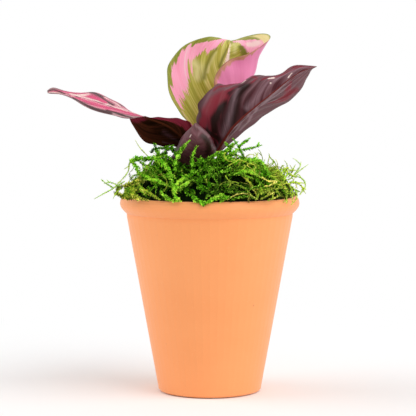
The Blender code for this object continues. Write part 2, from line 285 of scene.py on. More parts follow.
# Each blade is a sheet between three curves, each a list of points from the base to the tip: the
# midrib and the two margins, left and right as seen from the upper face with the tip up. The belly is
# how far each half bows out towards the upper face, in the middle between midrib and margin. The stalk
# runs from its foot on the soil through one more point.
LEAVES = {
    "back": {
        "midrib": [(-8, 10, 174), (-6, 16, 183), (-3, 22, 195), (1, 27, 207), (5, 32, 220), (10, 36, 234),
            (14, 41, 247), (15.5, 50, 252.5), (15.5, 59, 254.2)],
        "left": [(-8, 10, 174), (-9.5, 10, 183), (-12.5, 10, 191.5), (-16.5, 10, 196), (-21.5, 10, 201),
            (-26.5, 10, 208.5), (-30, 10, 218), (-31, 11.5, 228), (-29.5, 14, 237), (-24.5, 18, 244.5),
            (-17, 23, 251), (-7, 28.5, 255.5), (2, 35, 257), (7.5, 42, 256), (11.5, 49, 254.6),
            (13.8, 54.5, 254.4), (15.5, 59, 254.2)],
        "right": [(-8, 10, 174), (-4, 9.5, 182), (-1, 9, 189), (2, 8.5, 197), (4, 8, 205), (3.5, 8.5, 213),
            (3, 9, 221), (4.5, 10, 229), (10, 11, 236.5), (17.5, 12.5, 241), (27, 15, 244),
            (36, 18.5, 248.5), (43.8, 24, 255), (41.5, 33, 259), (30.5, 42, 258.2), (21, 51, 255.2),
            (15.5, 59, 254.2)],
        "left_belly": [0, -2, -3, -4, -4, -3, 0, 1, 0],
        "right_belly": [0, -7, -13, -17, -20, -18, -8, -1, 0],
        "foot": (-1, 7),
        "stalk": (-5, 7, 150),
    },
    "right": {
        "midrib": [(2, -10, 169), (7, -15, 177), (14, -21, 188.5), (23, -26, 198.5), (34.5, -30, 208.5),
            (48, -33, 219.5), (62, -34, 230), (76, -32, 235)],
        "left": [(2, -10, 169), (8, -7.5, 173.5), (15.5, -4.5, 180), (23.5, -0.5, 187), (32.5, 2.5, 193.5),
            (40, 4.5, 199.5), (48.5, 4.5, 205), (57.8, 1.5, 209.8), (64.5, -5, 217.2), (69, -14, 225.5),
            (72, -23, 232), (76, -32, 235)],
        "right": [(2, -10, 169), (-4, -7.5, 181), (-8.5, -5, 190), (-10, -4, 198), (-8, -5, 202.5),
            (-8.5, -3.5, 207.5), (-6, -4, 211.5), (-2, -5.5, 216), (2, -6, 220), (6, -7.5, 222.5),
            (10.5, -8.5, 221.5), (16, -10, 222.5), (22, -12, 223.5), (28, -13, 227.5), (34.5, -14.5, 228.3),
            (42.5, -18.5, 226.4), (51, -21.5, 229.5), (58, -24, 235), (67.5, -28, 235), (76, -32, 234.5)],
        "left_belly": [0, 1, 2, 3, 3, 2, 1, 0],
        "right_belly": [0, -2, -4, -5, -5, -4, -2, 0],
        "foot": (5, -1),
        "stalk": (4, -5, 146),
    },
    "left": {
        "midrib": [(-13, -6, 180), (-21, -9, 185), (-28, -13, 191), (-38, -18, 196), (-47, -22, 199.5),
            (-63, -26, 205.5), (-82, -28, 211), (-100, -29, 215), (-116, -29, 216)],
        "left": [(-13, -6, 180), (-12, -3.5, 189), (-15, -1.5, 195), (-20.5, -1, 197), (-27.5, -2, 198),
            (-35, -5.5, 198.5), (-42.5, -12.5, 198.5), (-49, -22, 199), (-55, -32, 198), (-63, -39.5, 199.5),
            (-73.5, -43, 202), (-85, -42.5, 206), (-95.5, -39, 211.5), (-105.5, -34.5, 215.7),
            (-116, -29, 216)],
        "right": [(-13, -6, 180), (-15.5, -1, 178), (-19.5, 2.5, 177), (-24, 5.5, 176.5), (-29, 7.5, 177),
            (-34, 8.5, 177), (-39.5, 9.5, 177.6), (-45.5, 10, 179.4), (-51.2, 9, 184), (-55, 7, 190),
            (-57.5, 4.5, 197), (-60.5, 1.5, 204), (-66, -1.5, 208.5), (-73, -5.5, 211.5), (-81.5, -9, 216),
            (-90.5, -12.5, 215.5), (-98, -15.5, 215.5), (-104.5, -20, 217.8), (-111, -24.5, 220.2),
            (-116, -29, 216)],
        "left_belly": [0, -1, -1, 0, 0, 1, 1, 0, 0],
        "right_belly": [0, -2, -3, -3, -2, 1, 2, 1, 0],
        "foot": (-7, 0),
        "stalk": (-9, -2, 152),
    },
    "front": {
        "midrib": [(-14, -8, 153), (-12, -18, 163), (-11, -27, 172), (-10, -33, 179), (-9, -35, 185),
            (-9, -30, 191), (-10, -19, 195)],
        "left": [(-14, -8, 153), (-5, -11, 161), (4, -15, 171), (4, -19, 178), (1, -23, 184), (-4, -22, 189),
            (-10, -19, 195)],
        "right": [(-14, -8, 153), (-21, -12, 159), (-27, -17, 168), (-24, -21, 177), (-20, -23, 184),
            (-14, -21, 190), (-10, -19, 195)],
        "left_belly": [0, -2, -3, -4, -4, -2, 0],
        "right_belly": [0, -2, -3, -4, -4, -2, 0],
        "foot": (-3, -7),
        "stalk": (-9, -6, 138),
    },
}

# How each blade is marked and ribbed. The centre patch and the dark margin are given as shares of the
# half-width at even steps from base to tip, for the left and the right half; between them runs the
# coloured band, and the limits of the underside are given where they differ. Ribs are (number along
# the blade, height in mm), the grid counts rows and columns of a half, the pale spot is (share of the
# way to the tip, share of the half-width, size), and skew is how far the veins run on towards the tip.
# Ragged and soft tell how ragged and how soft the edges are, on the upper face and on the underside.
MARKS = {
    "back": {
        "centre": ([0.9, 0.86, 0.79, 0.61, 0.55, 0.6, 0.48, 0.75, 1],
                   [0.9, 0.8, 0.6, 0.42, 0.4, 0.4, 0.36, 0.18, 0.4]),
        "margin": ([0.95, 0.95, 0.8, 0.87, 0.9, 0.93, 0.74, 0.9, 1],
                   [0.95, 0.95, 0.94, 0.93, 0.93, 0.93, 0.98, 0.46, 0.1]),
        "margin_under": ([0.95, 0.95, 0.95, 0.95, 0.95, 0.95, 0.95, 0.97, 1],
                         [0.97, 0.97, 0.965, 0.955, 0.955, 0.96, 0.985, 1, 1]),
        "ribs": [(17, 0.14), (7, 0.35)],
        "grid": (190, 46),
        "pale": (0.795, 0.88, 0.15),
        "skew": [0.42, 0.42, 0.4, 0.36, 0.3],
        "ragged": (1, 0.3),
        "soft": (0.012, 0.014),
    },
    "right": {
        "centre": ([0.8, 0.72, 0.6, 0.66, 0.5, 0.62, 0.5, 0.4, 0.6],
                   [0.8, 0.7, 0.62, 0.5, 0.58, 0.46, 0.52, 0.4, 0.6]),
        "margin": ([0.95, 0.92, 0.9, 0.92, 0.84, 0.9, 0.86, 0.8, 0.9],
                   [0.95, 0.9, 0.92, 0.86, 0.9, 0.88, 0.84, 0.82, 0.9]),
        "centre_under": ([0, 0, 0, 0, 0.3, 0.72, 0.3, 0, 0],
                         [0.1, 0.16, 0.32, 0.42, 0.62, 0.66, 0.4, 0.3, 0]),
        "margin_under": ([0, 0, 0, 0, 0.35, 0.9, 0.5, 0, 0],
                         [0.3, 0.42, 0.56, 0.62, 0.72, 0.68, 0.5, 0.4, 0.1]),
        "ribs": [(19, 0.08), (7, 0.45)],
        "grid": (200, 44),
        "skew": [0.25, 0.34, 0.45, 0.6, 0.8],
        "ragged": (1, 1),
        "soft": (0.012, 0.03),
    },
    "left": {
        "centre": 2 * ([0.5, 0.5, 0.45, 0.3, 0.2, 0.12, 0.08, 0, 0],),
        "margin": ([0.5, 0.45, 0.4, 0.4, 0.6, 0.7, 0.74, 0.6, 0.3],
                   [0.9, 0.9, 0.9, 0.9, 0.8, 0.62, 0.7, 0.6, 0.3]),
        "margin_under": ([0.5, 0.45, 0.4, 0.4, 0.6, 0.7, 0.74, 0.6, 0.3],
                         [0.98, 0.98, 0.98, 0.98, 0.98, 0.9, 0.8, 0.6, 0.3]),
        "ribs": [(20, 0.08), (8, 0.15)],
        "grid": (220, 34),
        "pale": (0.99, 0, 0.24),
        "skew": [0.35, 0.45, 0.6, 0.7, 0.7],
        "ragged": (2, 1.2),
        "soft": (0.012, 0.03),
    },
    "front": {
        "centre": 2 * ([0.4, 0.4],),
        "margin": 2 * ([0.75, 0.75],),
        "ribs": [(10, 0.08), (4, 0.15)],
        "grid": (100, 30),
        "skew": [0.4, 0.4],
        "ragged": (1, 1),
        "soft": (0.012, 0.05),
    },
}

# Marks that stand out on a face of a blade, laid on kind by kind: the colour, then for each mark its
# reach in mm, its strength and its places, as shares of the way to the tip and of the half-width,
# which is negative on the left. Spans are each blade's length and half-width in mm. Shade darkens,
# flush reddens, glint and spark lighten. Most are the leaf's own marks; where they are painted light
# or shade, that is said at the face.
KINDS = ("shade", "flush", "glint", "spark")
# the spark colour: painted highlights on the right and the front blade, the pale midrib streak on the back
# blade
SPARK = (250, 226, 216)
SPANS = {"back": (112, 34), "right": (112, 27), "left": (118, 17), "front": (52, 13)}
STROKES = {
    ("back", "upper", "shade"): ((116, 116, 26), [
        (4, 1, [(0.79, 0.25), (0.76, 0.27), (0.73, 0.28)]),
        (2.5, 0.7, [(0.8, -0.12), (0.72, -0.1), (0.62, -0.08)]),
        (3.5, 0.6, [(0.7, -0.42), (0.62, -0.34), (0.52, -0.26)]),
    ]),
    ("back", "upper", "flush"): ((255, 218, 216), [
        (4, 1, [(0.81, 0.45), (0.8, 0.56), (0.795, 0.68)]),
    ]),
    ("back", "upper", "glint"): ((216, 208, 140), [
        (6, 0.62, [(0.57, -0.56), (0.56, -0.44), (0.51, -0.38)]),
        (2.2, 0.5, [(0.68, -0.34), (0.62, -0.28), (0.56, -0.24)]),
        (3, 0.5, [(0.86, 0.1), (0.8, 0.12), (0.74, 0.1)]),
    ]),
    ("back", "upper", "spark"): (SPARK, [
        (1.1, 0.9, [(0.84, -0.05), (0.79, -0.03), (0.72, 0.01), (0.64, 0.03)]),
    ]),
    # painted shade in the valleys between the ribs
    ("right", "under", "shade"): ((34, 12, 9), [
        (6, 1, [(0.62, 0.62), (0.53, 0.45), (0.47, 0.3), (0.42, 0.2), (0.35, 0.1)]),
        (4.5, 1, [(0.42, 0.48), (0.36, 0.42), (0.28, 0.38), (0.22, 0.3)]),
        (4, 0.9, [(0.16, 0.6), (0.19, 0.3), (0.19, 0.1)]),
    ]),
    ("right", "under", "flush"): ((126, 38, 50), [
        (6, 1, [(0.45, 0.62), (0.41, 0.64), (0.37, 0.68), (0.31, 0.66), (0.24, 0.66), (0.18, 0.7)]),
        (2.4, 0.7, [(0.42, 0.9), (0.48, 0.86), (0.55, 0.93), (0.62, 0.95)]),
        (2.6, 0.7, [(0.69, 0.86), (0.7, 0.66)]),
        (2.2, 0.8, [(0.87, 0.9), (0.93, 0.8)]),
        (4.5, 1, [(0.63, -0.7), (0.67, -0.72), (0.72, -0.85)]),
        (3, 0.8, [(0.83, 0.75), (0.88, 0.6), (0.92, 0.31)]),
    ]),
    # mostly painted sheen: on the crests of the ribs, towards the tip, on the stalk's edge and over the lower
    # half
    ("right", "under", "glint"): ((150, 118, 126), [
        (4.4, 0.4, [(0.57, 0.62), (0.485, 0.37), (0.41, 0.23), (0.33, 0.12), (0.24, 0.06)]),
        (4.6, 0.42, [(0.72, 0.32), (0.665, 0.25), (0.59, 0.13), (0.5, 0.07)]),
        (6, 0.5, [(0.74, 0.3), (0.84, 0.3), (0.93, 0.2)]),
        (2.4, 0.9, [(0.91, -0.16), (0.83, -0.1), (0.75, -0.07), (0.68, -0.05), (0.5, -0.12), (0.25, -0.25)]),
        (2, 0.95, [(0.25, -0.25), (0.2, -0.39), (0.14, -0.67), (0.11, -0.8)]),
        (2.2, 0.85, [(0.75, -0.43), (0.54, -0.43), (0.47, -0.55), (0.34, -0.75), (0.29, -0.79)]),
        (2.6, 0.6, [(0.2, -0.6), (0.4, -0.45), (0.55, -0.28), (0.7, -0.22)]),
    ]),
    # painted highlights where the blade catches the light
    ("right", "under", "spark"): (SPARK, [
        (1, 1, [(0.625, 0.85), (0.655, 0.95)]),
        (1.5, 1, [(0.735, 0.39), (0.755, 0.37)]),
        (0.8, 0.8, [(0.717, 0.25), (0.712, 0.22)]),
        (0.9, 0.9, [(0.8, 0.07), (0.838, 0.19)]),
        (0.8, 0.7, [(0.9, 0.75), (0.91, 0.62)]),
    ]),
    # partly the leaf's own dark marks, partly painted shade where the blade bends over at its upper edge and
    # at its twist
    ("left", "upper", "shade"): ((70, 42, 44), [
        (2.4, 1, [(0.79, 0.86), (0.77, 0.74), (0.75, 0.64)]),
        (4, 1, [(0.75, 0.56), (0.735, 0.46), (0.72, 0.38)]),
        (1.7, 1, [(0.722, 0.34), (0.705, 0.24), (0.69, 0.14), (0.66, 0.04)]),
        (1.7, 1, [(0.7, 0.62), (0.678, 0.6), (0.655, 0.53), (0.626, 0.42), (0.6, 0.3)]),
        (1, 0.8, [(0.68, 0.4), (0.65, 0.33), (0.62, 0.22)]),
        (1.4, 0.9, [(0.85, 0.12), (0.835, -0.1), (0.82, -0.3)]),
        (0.9, 0.9, [(0.75, -0.16), (0.71, -0.28), (0.66, -0.38)]),
        (2.4, 1, [(0.94, -0.5), (0.88, -0.7), (0.84, -0.85)]),
        (2.6, 1, [(0.85, -0.6), (0.82, -0.8), (0.77, -0.88), (0.73, -0.9), (0.69, -0.9)]),
        (1.5, 0.9, [(0.7, -0.78), (0.66, -0.8), (0.62, -0.84), (0.58, -0.84)]),
        (1.6, 0.8, [(0.99, -0.1), (0.94, -0.15), (0.89, -0.3)]),
        (1.2, 0.9, [(0.7, -0.75), (0.65, -0.76), (0.57, -0.9)]),
        (2, 1, [(0.58, 0.02), (0.55, 0.06), (0.52, 0.06)]),
        (1.8, 0.9, [(0.98, 0.6), (0.95, 0.45), (0.92, 0.25), (0.89, 0), (0.87, -0.2)]),
    ]),
    ("left", "upper", "flush"): ((214, 78, 120), [
        (2.4, 1, [(0.79, 0.2), (0.755, 0.14), (0.73, 0.12), (0.7, 0.05)]),
        (3.4, 1, [(0.83, -0.4), (0.78, -0.5), (0.74, -0.5), (0.7, -0.55)]),
        (1.8, 1, [(0.68, -0.48), (0.64, -0.45), (0.59, -0.35)]),
        (2, 1, [(0.89, 0.35), (0.86, 0.2)]),
        (1.6, 1, [(0.64, -0.28), (0.605, -0.36), (0.575, -0.42)]),
    ]),
    ("left", "upper", "glint"): ((248, 216, 208), [
        (2.4, 0.8, [(0.83, 0.08), (0.8, 0.2), (0.775, 0.34)]),
        (1.3, 0.8, [(0.98, 0.2), (0.95, 0.1), (0.92, -0.12)]),
        (1.8, 0.7, [(0.7, 0.42), (0.66, 0.3), (0.63, 0.16)]),
        (1.6, 1, [(0.86, 0.1), (0.79, -0.06), (0.73, -0.03), (0.67, -0.24), (0.6, -0.3)]),
    ]),
    ("left", "under", "flush"): ((106, 32, 46), [
        (5, 1, [(0.54, 0.7), (0.51, 0.15), (0.46, -0.35), (0.41, -0.72)]),
        (6, 1, [(0.4, -0.75), (0.3, -0.8), (0.2, -0.8)]),
    ]),
    # painted sheen on the dark underside
    ("left", "under", "glint"): ((84, 54, 62), [
        (3.6, 0.4, [(0.3, 0.2), (0.22, 0.28), (0.12, 0.34)]),
        (1.4, 0.7, [(0.28, 0.6), (0.16, 0.66)]),
    ]),
    # painted shade on the lower part of the blade, which turns down below its ridge
    ("front", "under", "shade"): ((48, 26, 22), [
        (3.4, 0.9, [(0.68, -0.25), (0.62, -0.42), (0.54, -0.5), (0.42, -0.5)]),
    ]),
    # painted light along the ridge, where the blade faces up
    ("front", "under", "glint"): ((124, 94, 98), [
        (2.8, 1, [(0.94, 0.15), (0.84, -0.15), (0.765, -0.31), (0.7, -0.53)]),
    ]),
    # a small painted highlight
    ("front", "under", "spark"): (SPARK, [
        (0.5, 0.6, [(0.7, 0.22), (0.66, 0.25)]),
    ]),
}

# Colours of each blade as it shows in even light: on the upper face the patch, the band and the margin
# from dark to light, with the rib and the pale spot, and on the underside the ground, the band and the
# margin. Drift is how much paler the underside grows towards the tip and on its left half, shine is
# that of the upper and of the lower face, and broken is how strongly the veins break up the marks.
GREENS = {
    "centre": [(144, 140, 26), (180, 175, 68), (226, 216, 134)],
    "margin": [(128, 140, 44), (176, 172, 86)],
}
PINKS = {"band": [(250, 156, 184), (255, 172, 200), (252, 204, 212)], "rib": (240, 222, 180)}
YOUNG = {**GREENS, **PINKS, "pale": (244, 228, 158), "broken": 0.9}
SKINS = {
    "back": {
        **YOUNG,
        # the underside's bright magenta and the tan margin on the fold are its own colours with painted light
        # shining through the thin blade
        "under": [(150, 80, 110), (190, 106, 140), (222, 130, 170)],
        "under_band": [(222, 122, 166), (240, 142, 186)],
        "under_margin": [(172, 116, 78), (212, 146, 128)],
        "under_rib": (150, 60, 70),
        "drift": (0.0, 0.0),
        "shine": (0.3, 0.3),
    },
    "right": {
        **YOUNG,
        "under": [(38, 12, 12), (76, 34, 40), (146, 110, 116)],
        "under_band": [(104, 28, 40), (136, 50, 62)],
        "under_margin": [(68, 32, 38), (118, 80, 86)],
        "under_rib": (108, 38, 34),
        "drift": (0.32, 0.26),
        "shine": (0.3, 0.1),
    },
    "left": {
        "centre": [(112, 66, 70), (216, 150, 160), (244, 214, 208)],
        "margin": [(100, 60, 66), (206, 166, 168)],
        "band": [(150, 46, 80), (216, 96, 130), (246, 214, 212)],
        "rib": (244, 214, 206),
        "pale": (200, 172, 162),
        "broken": 3.0,
        # the underside's near-black colours: the leaf's own dark colour with painted shade, where the base
        # half faces down
        "under": [(17, 8, 2), (38, 18, 8), (68, 30, 20)],
        "under_band": [(32, 15, 7), (64, 30, 18)],
        "under_margin": [(74, 18, 26), (124, 40, 54)],
        "under_rib": (64, 30, 16),
        "drift": (0.0, 0.0),
        "shine": (0.3, 0.0),
    },
    "front": {
        **YOUNG,
        "under": [(72, 36, 40), (98, 54, 60), (118, 80, 85)],
        "under_band": [(74, 34, 40), (98, 52, 60)],
        "under_margin": [(58, 30, 34), (96, 58, 64)],
        "under_rib": (96, 54, 58),
        "drift": (0.1, 0.0),
        "shine": (0.3, 0.25),
    },
}


def blade_middle(leaf, rows, columns):
    """Points of a blade's middle surface, row by row from base to tip, left margin to right margin."""
    share = np.linspace(BLADE_START, BLADE_END, rows + 1)
    midrib = smooth_curve(leaf["midrib"], share)
    along = unit(np.gradient(midrib, axis=0))
    across = np.linspace(0, 1, columns + 1)[:, None]
    halves = []
    for side, sign in (("left", -1), ("right", 1)):
        reach = smooth_curve(leaf[side], share) - midrib
        belly = smooth_curve(leaf[side + "_belly"], share)
        upward = sign * unit(np.cross(reach, along))
        bow = 4 * across * (1 - across) * (belly[:, None] * upward)[:, None]
        halves.append(midrib[:, None] + reach[:, None] * across + bow)
    return share, np.concatenate([halves[0][:, ::-1], halves[1][:, 1:]], axis=1)


def upward_of(surface):
    """Unit vectors that stand up from the upper face."""
    return unit(np.cross(np.gradient(surface, axis=1), np.gradient(surface, axis=0)))


def blade_relief(ribs, share, out, vein, rng):
    """Heights of the lateral ribs, which fade at midrib and margin, and of the wavy margin."""
    along = share[:, None]
    relief = np.zeros(vein.shape)
    for count, tall in ribs:
        wander = smooth_curve(rng.uniform(-0.3, 0.3, 9), share)[:, None]
        relief += tall * np.sin(2 * math.pi * (count * vein + wander))
    relief *= np.clip(out / 0.16, 0, 1) * (1 - out**4) * np.sin(math.pi * np.clip(along, 0, 1)) ** 0.5
    wave = smooth_curve(rng.uniform(-1, 1, 22), share)[:, None] * out**6 * MARGIN_WAVE
    return relief, wave


def blade_faces(middle, share, out):
    """The upper face and the lower one, which bulges with the rib and thins out at margin and ends."""
    upward = upward_of(middle)
    along, rows = share[:, None], np.arange(len(share))
    body = BLADE_THICK * (1 - out**10) * np.ones(along.shape)
    rib = RIB_THICK * (1 - 0.8 * along) * np.exp(-((out / (RIB_SHARE * (1.25 - 0.5 * along))) ** 2))
    ends = np.minimum(1, np.minimum(rows, rows[::-1]) / 3)[:, None]
    upper = middle + (0.5 * body * ends)[..., None] * upward - (0.25 * rib * ends)[..., None] * upward
    lower = middle - ((0.5 * body + 0.75 * rib) * ends)[..., None] * upward
    return upper, lower


def make_blade(name, seed):
    """A closed blade whose two faces share the points of the outline, with its marks by point."""
    marks = MARKS[name]
    rows, columns = marks["grid"]
    share, middle = blade_middle(LEAVES[name], rows, columns)
    height, width = rows + 1, 2 * columns + 1
    side = np.linspace(-1, 1, width)
    out = np.abs(side)[None]
    vein = share[:, None] - smooth_curve(marks["skew"], share)[:, None] * out**1.15
    relief, wave = blade_relief(marks["ribs"], share, out, vein, np.random.default_rng(seed))
    middle = middle + (relief + wave)[..., None] * upward_of(middle)
    upper, lower = blade_faces(middle, share, out)
    inside = np.zeros((height, width), bool)
    inside[1:-1, 1:-1] = True
    number = np.arange(height * width).reshape(height, width)
    beneath = number.copy()
    beneath[inside] = height * width + np.arange(inside.sum())
    points = np.concatenate([upper.reshape(-1, 3), lower[inside]])
    quads = np.concatenate([grid_quads(number), grid_quads(beneath)[:, ::-1]])
    corner = np.concatenate([grid_quads(number), grid_quads(number)[:, ::-1]])
    half = len(corner) // 2

    def by_point(field, under=None):
        field = np.broadcast_to(field, (height, width))
        return np.concatenate([field.ravel(), (field if under is None else under)[inside]])

    def within(key):
        """How far inside that limit each point lies, on the upper and on the under face."""
        for limits in (marks[key], marks.get(key + "_under", marks[key])):
            left, right = (smooth_curve(side_limits, share)[:, None] for side_limits in limits)
            yield np.where(side[None] < 0, left, right) - out

    v, u = np.meshgrid((side + 1) / 2, (share - share[0]) / np.ptp(share))
    bake = np.stack([v, u], -1).reshape(-1, 2)[corner] * (0.46, 0.96) + (0.02, 0.02)
    bake[half:, :, 0] += 0.5
    blade = np.stack([np.broadcast_to(side, vein.shape), vein], -1).reshape(-1, 2)[corner]
    floats = {"along": by_point(share[:, None]), "rise": by_point(relief / np.abs(relief).max())}
    floats["centre"] = by_point(*within("centre"))
    floats["margin"] = by_point(*(-inside_by for inside_by in within("margin")))
    if "pale" in marks:
        row, column, size = marks["pale"]
        away = np.hypot((share[:, None] - row) / 0.7, side[None] - column)
        floats["pale"] = by_point(np.clip(1 - away / size, 0, 1))
    for kind in KINDS:
        floats[kind] = by_point(*(stroke_field(name, face, kind, share, side) for face in ("upper", "under")))
    slots = np.repeat([0, 1], half)
    made = build_mesh(f"blade_{name}", points, quads, {"OFBake": bake, "Blade": blade}, floats, slots)
    made.data.materials.append(upper_material(name, seed))
    made.data.materials.append(under_material(name, seed))
    return made


def stroke_field(name, face, kind, share, side):
    """How strongly one kind of stroke shows on that face at each point of the grid, from 0 to 1."""
    span = np.array(SPANS[name])
    spot = np.stack(np.meshgrid(share, side, indexing="ij"), -1) * span
    field = np.zeros(spot.shape[:2])
    _, strokes = STROKES.get((name, face, kind), (None, []))
    for reach, strength, places in strokes:
        keys = np.array(places) * span
        for start, end in zip(keys[:-1], keys[1:]):
            run = end - start
            part = np.clip((spot - start) @ run / run.dot(run), 0, 1)[..., None]
            away = np.linalg.norm(spot - start - part * run, axis=-1)
            field = np.maximum(field, strength * np.clip(1 - away / reach, 0, 1))
    return field


def touch_up(tree, colour, name, face, streak):
    """The colour with this face's strokes laid over it, broken up along the veins."""
    ragged = times(maths("SUBTRACT", streak, 0.5), SKINS[name]["broken"])
    for kind in KINDS:
        if (name, face, kind) in STROKES:
            field = read(tree, kind)
            share = step(plus(field, times(ragged, field)), 0.08, 0.75)
            colour = blend(share, colour, linear(*STROKES[name, face, kind][0]))
    return colour


def blade_place(tree):
    """(place on the blade as across and vein, the part across, distance from the midrib)."""
    place = put("UVMap", tree=tree, uv_map="Blade").outputs[0]
    across = put("SeparateXYZ", {0: place}).outputs[0]
    return place, across, maths("ABSOLUTE", across)


def read(tree, name):
    return put("Attribute", tree=tree, attribute_name=name).outputs["Fac"]


def feather(place, size, seed):
    """A ragged edge that follows the veins, about 0.12 either way at size 1."""
    coarse = noise(place, (1.2, 24, 1), 1.0, 0.5, seed)
    fine = noise(place, (4, 95, 1), 2.0, 0.6, seed + 3.0)
    value = plus(times(coarse, 0.62), times(fine, 0.28))
    return times(maths("SUBTRACT", value, 0.45), size)


def veining(tree, place, fine, seed):
    """(fine streaks along the veins, those mixed with the broad channels and lifted on the ribs' crests),
    around 0.5; the crests read lighter and the troughs darker, which is painted light and shade.
    """
    streak = noise(place, (1.5, 60, 1), 3.0, 0.6, seed + 7.0)
    broad = noise(place, (0.8, 12, 1), 1.5, 0.5, seed + 11.0)
    vein = plus(times(streak, fine), times(broad, 1 - fine))
    # the ribs' crests are painted lighter and their troughs darker
    return streak, plus(vein, times(read(tree, "rise"), 0.04))


def edges(tree, place, name, face, seed):
    """(1 inside the centre patch, 1 on the margin), ragged and soft as that face of the blade is."""
    ragged, soft = (MARKS[name][key][face] for key in ("ragged", "soft"))
    ragged = feather(place, ragged, seed)
    inner = step(plus(read(tree, "centre"), ragged), -soft, soft)
    outer = plus(read(tree, "margin"), times(ragged, 0.5))
    return inner, step(outer, -soft, soft)


def upper_material(name, seed):
    skin = SKINS[name]
    material, tree, shader = new_material(f"blade_{name}_upper", 0.42, skin["shine"][0])
    place, _, out = blade_place(tree)
    streak, vein = veining(tree, place, 0.5, seed)
    centre, band = (shades(vein, (0.36, 0.5, 0.66), skin[key]) for key in ("centre", "band"))
    margin = shades(vein, (0.4, 0.64), skin["margin"])
    inner, outer = edges(tree, place, name, 0, seed)
    colour = blend(outer, blend(inner, band, centre), margin)
    if "pale" in MARKS[name]:
        colour = blend(step(read(tree, "pale"), 0.1, 0.6), colour, linear(*skin["pale"]))
    rib = times(step(out, 0.045, 0.012), step(streak, 0.35, 0.6))
    colour = touch_up(tree, blend(rib, colour, linear(*skin["rib"])), name, "upper", streak)
    tree.links.new(colour, shader.inputs["Base Color"])
    add_bump(shader, streak, 0.0003, 0.4)
    return material


def under_material(name, seed):
    skin = SKINS[name]
    material, tree, shader = new_material(f"blade_{name}_under", 0.4, skin["shine"][1])
    place, across, out = blade_place(tree)
    streak, vein = veining(tree, place, 0.22, seed)
    toward_tip, toward_left = skin["drift"]
    drift = times(maths("SUBTRACT", read(tree, "along"), 0.5), toward_tip)
    left_half = times(maths("MINIMUM", across, 0.0), -toward_left)
    drifted = plus(vein, plus(drift, left_half))
    ground = shades(drifted, (0.34, 0.52, 0.78), skin["under"])
    band, margin = (shades(drifted, (0.36, 0.64), skin[key]) for key in ("under_band", "under_margin"))
    inner, outer = edges(tree, place, name, 1, seed)
    colour = blend(outer, blend(inner, band, ground), margin)
    colour = touch_up(tree, colour, name, "under", streak)
    rib = times(out, plus(read(tree, "along"), 0.45))
    colour = blend(step(rib, 0.022, 0.01), colour, linear(*skin["under_rib"]))
    tree.links.new(colour, shader.inputs["Base Color"])
    add_bump(shader, streak, 0.0003, 0.4)
    return material


# ---- stalks

STALK_FOOT = 122.35  # height of the soil there
STALK_RADII = (1.5, 1.4, 0.7)  # at mid length, what the foot adds and what the slim end loses
STALK_RINGS, STALK_SIDES = 40, 16
STALK_APPROACH, STALK_UNDER = 7.0, 1.8  # how far it runs straight on before the blade and under it


def tube_rings(path, radii, sides, start=None):
    """Rings of points round a path, one after another."""
    path = np.asarray(path, float)
    along = unit(np.gradient(path, axis=0))
    if start is not None:
        along[0] = start
    hint = np.array([1.0, 0.0, 0.0]) if abs(along[0][0]) < 0.8 else np.array([0.0, 1.0, 0.0])
    turn = 2 * math.pi * np.arange(sides) / sides
    rings = []
    for centre, direction, radius in zip(path, along, radii):
        first = unit(hint - direction * hint.dot(direction))
        second = np.cross(direction, first)
        hint = first
        rings.append(centre + radius * (np.cos(turn)[:, None] * first + np.sin(turn)[:, None] * second))
    return np.array(rings)


def make_stalk(name, leaf):
    """A stalk from the soil that runs a little way under the blade, stout at its sheathing foot."""
    foot = (*leaf["foot"], STALK_FOOT)
    base = smooth_curve(leaf["midrib"], [BLADE_START])[0]
    ahead = unit(np.subtract(leaf["midrib"][1], leaf["midrib"][0]))
    share = np.linspace(0, 1, STALK_RINGS)
    keys = [foot, leaf["stalk"], base - ahead * STALK_APPROACH, base + ahead * STALK_UNDER]
    path = smooth_curve(keys, share)
    count, sides = STALK_RINGS, STALK_SIDES
    middle, stout, slim = STALK_RADII
    radii = middle + stout * (1 - share) ** 1.5 - slim * np.clip((share - 0.86) / 0.14, 0, 1)
    rings = tube_rings(path, radii, sides, (0, 0, 1))
    points = np.concatenate([rings.reshape(-1, 3), path[:1], path[-1:]])
    quads = tube_quads(count, sides)
    low = np.stack([quads[:, 0] % sides / sides, quads[:, 0] // sides / count], -1)[:, None]
    places = low + np.array([(0, 0), (1 / sides, 0), (1 / sides, 1 / count), (0, 1 / count)])
    for ring, tip, flip in ((0, len(points) - 2, True), (count - 1, len(points) - 1, False)):
        first = ring * sides + np.arange(0, sides, 2)
        after = ring * sides + (np.arange(0, sides, 2) + 2) % sides
        cap = np.stack([first, first + 1, after, np.full_like(first, tip)], -1)
        quads = np.concatenate([quads, cap[:, ::-1] if flip else cap])
        patch = np.array([(0.99, 0.99), (1.0, 0.99), (1.0, 1.0), (0.99, 1.0)])
        places = np.concatenate([places, np.tile(patch, (len(cap), 1, 1))])
    places = 0.02 + 0.96 * places
    made = build_mesh(name, points, quads, {"OFBake": places, "Stalk": places})
    made.data.materials.append(bpy.data.materials.get("stalk_skin") or stalk_material())
    return made


def stalk_material():
    material, tree, shader = new_material("stalk_skin", 0.5, 0.3)
    place = put("UVMap", tree=tree, uv_map="Stalk").outputs[0]
    streak = noise(place, (14, 1.5, 1), 3.0, 0.6)
    along = put("SeparateXYZ", {0: place}).outputs[1]
    low = shades(streak, (0.35, 0.65), [(70, 60, 20), (128, 104, 48)])
    high = shades(streak, (0.35, 0.65), [(72, 28, 24), (120, 52, 46)])
    tree.links.new(blend(step(along, 0.1, 0.6), low, high), shader.inputs["Base Color"])
    add_bump(shader, streak, 0.0004, 0.6)
    return material


# ---- moss

SECTORS = ("front", "front_right", "right", "back_right", "back", "back_left", "left", "front_left")
RIM_INNER, RIM_TOP = 55, 141.5  # from how far out strands lie over the rim, and its height
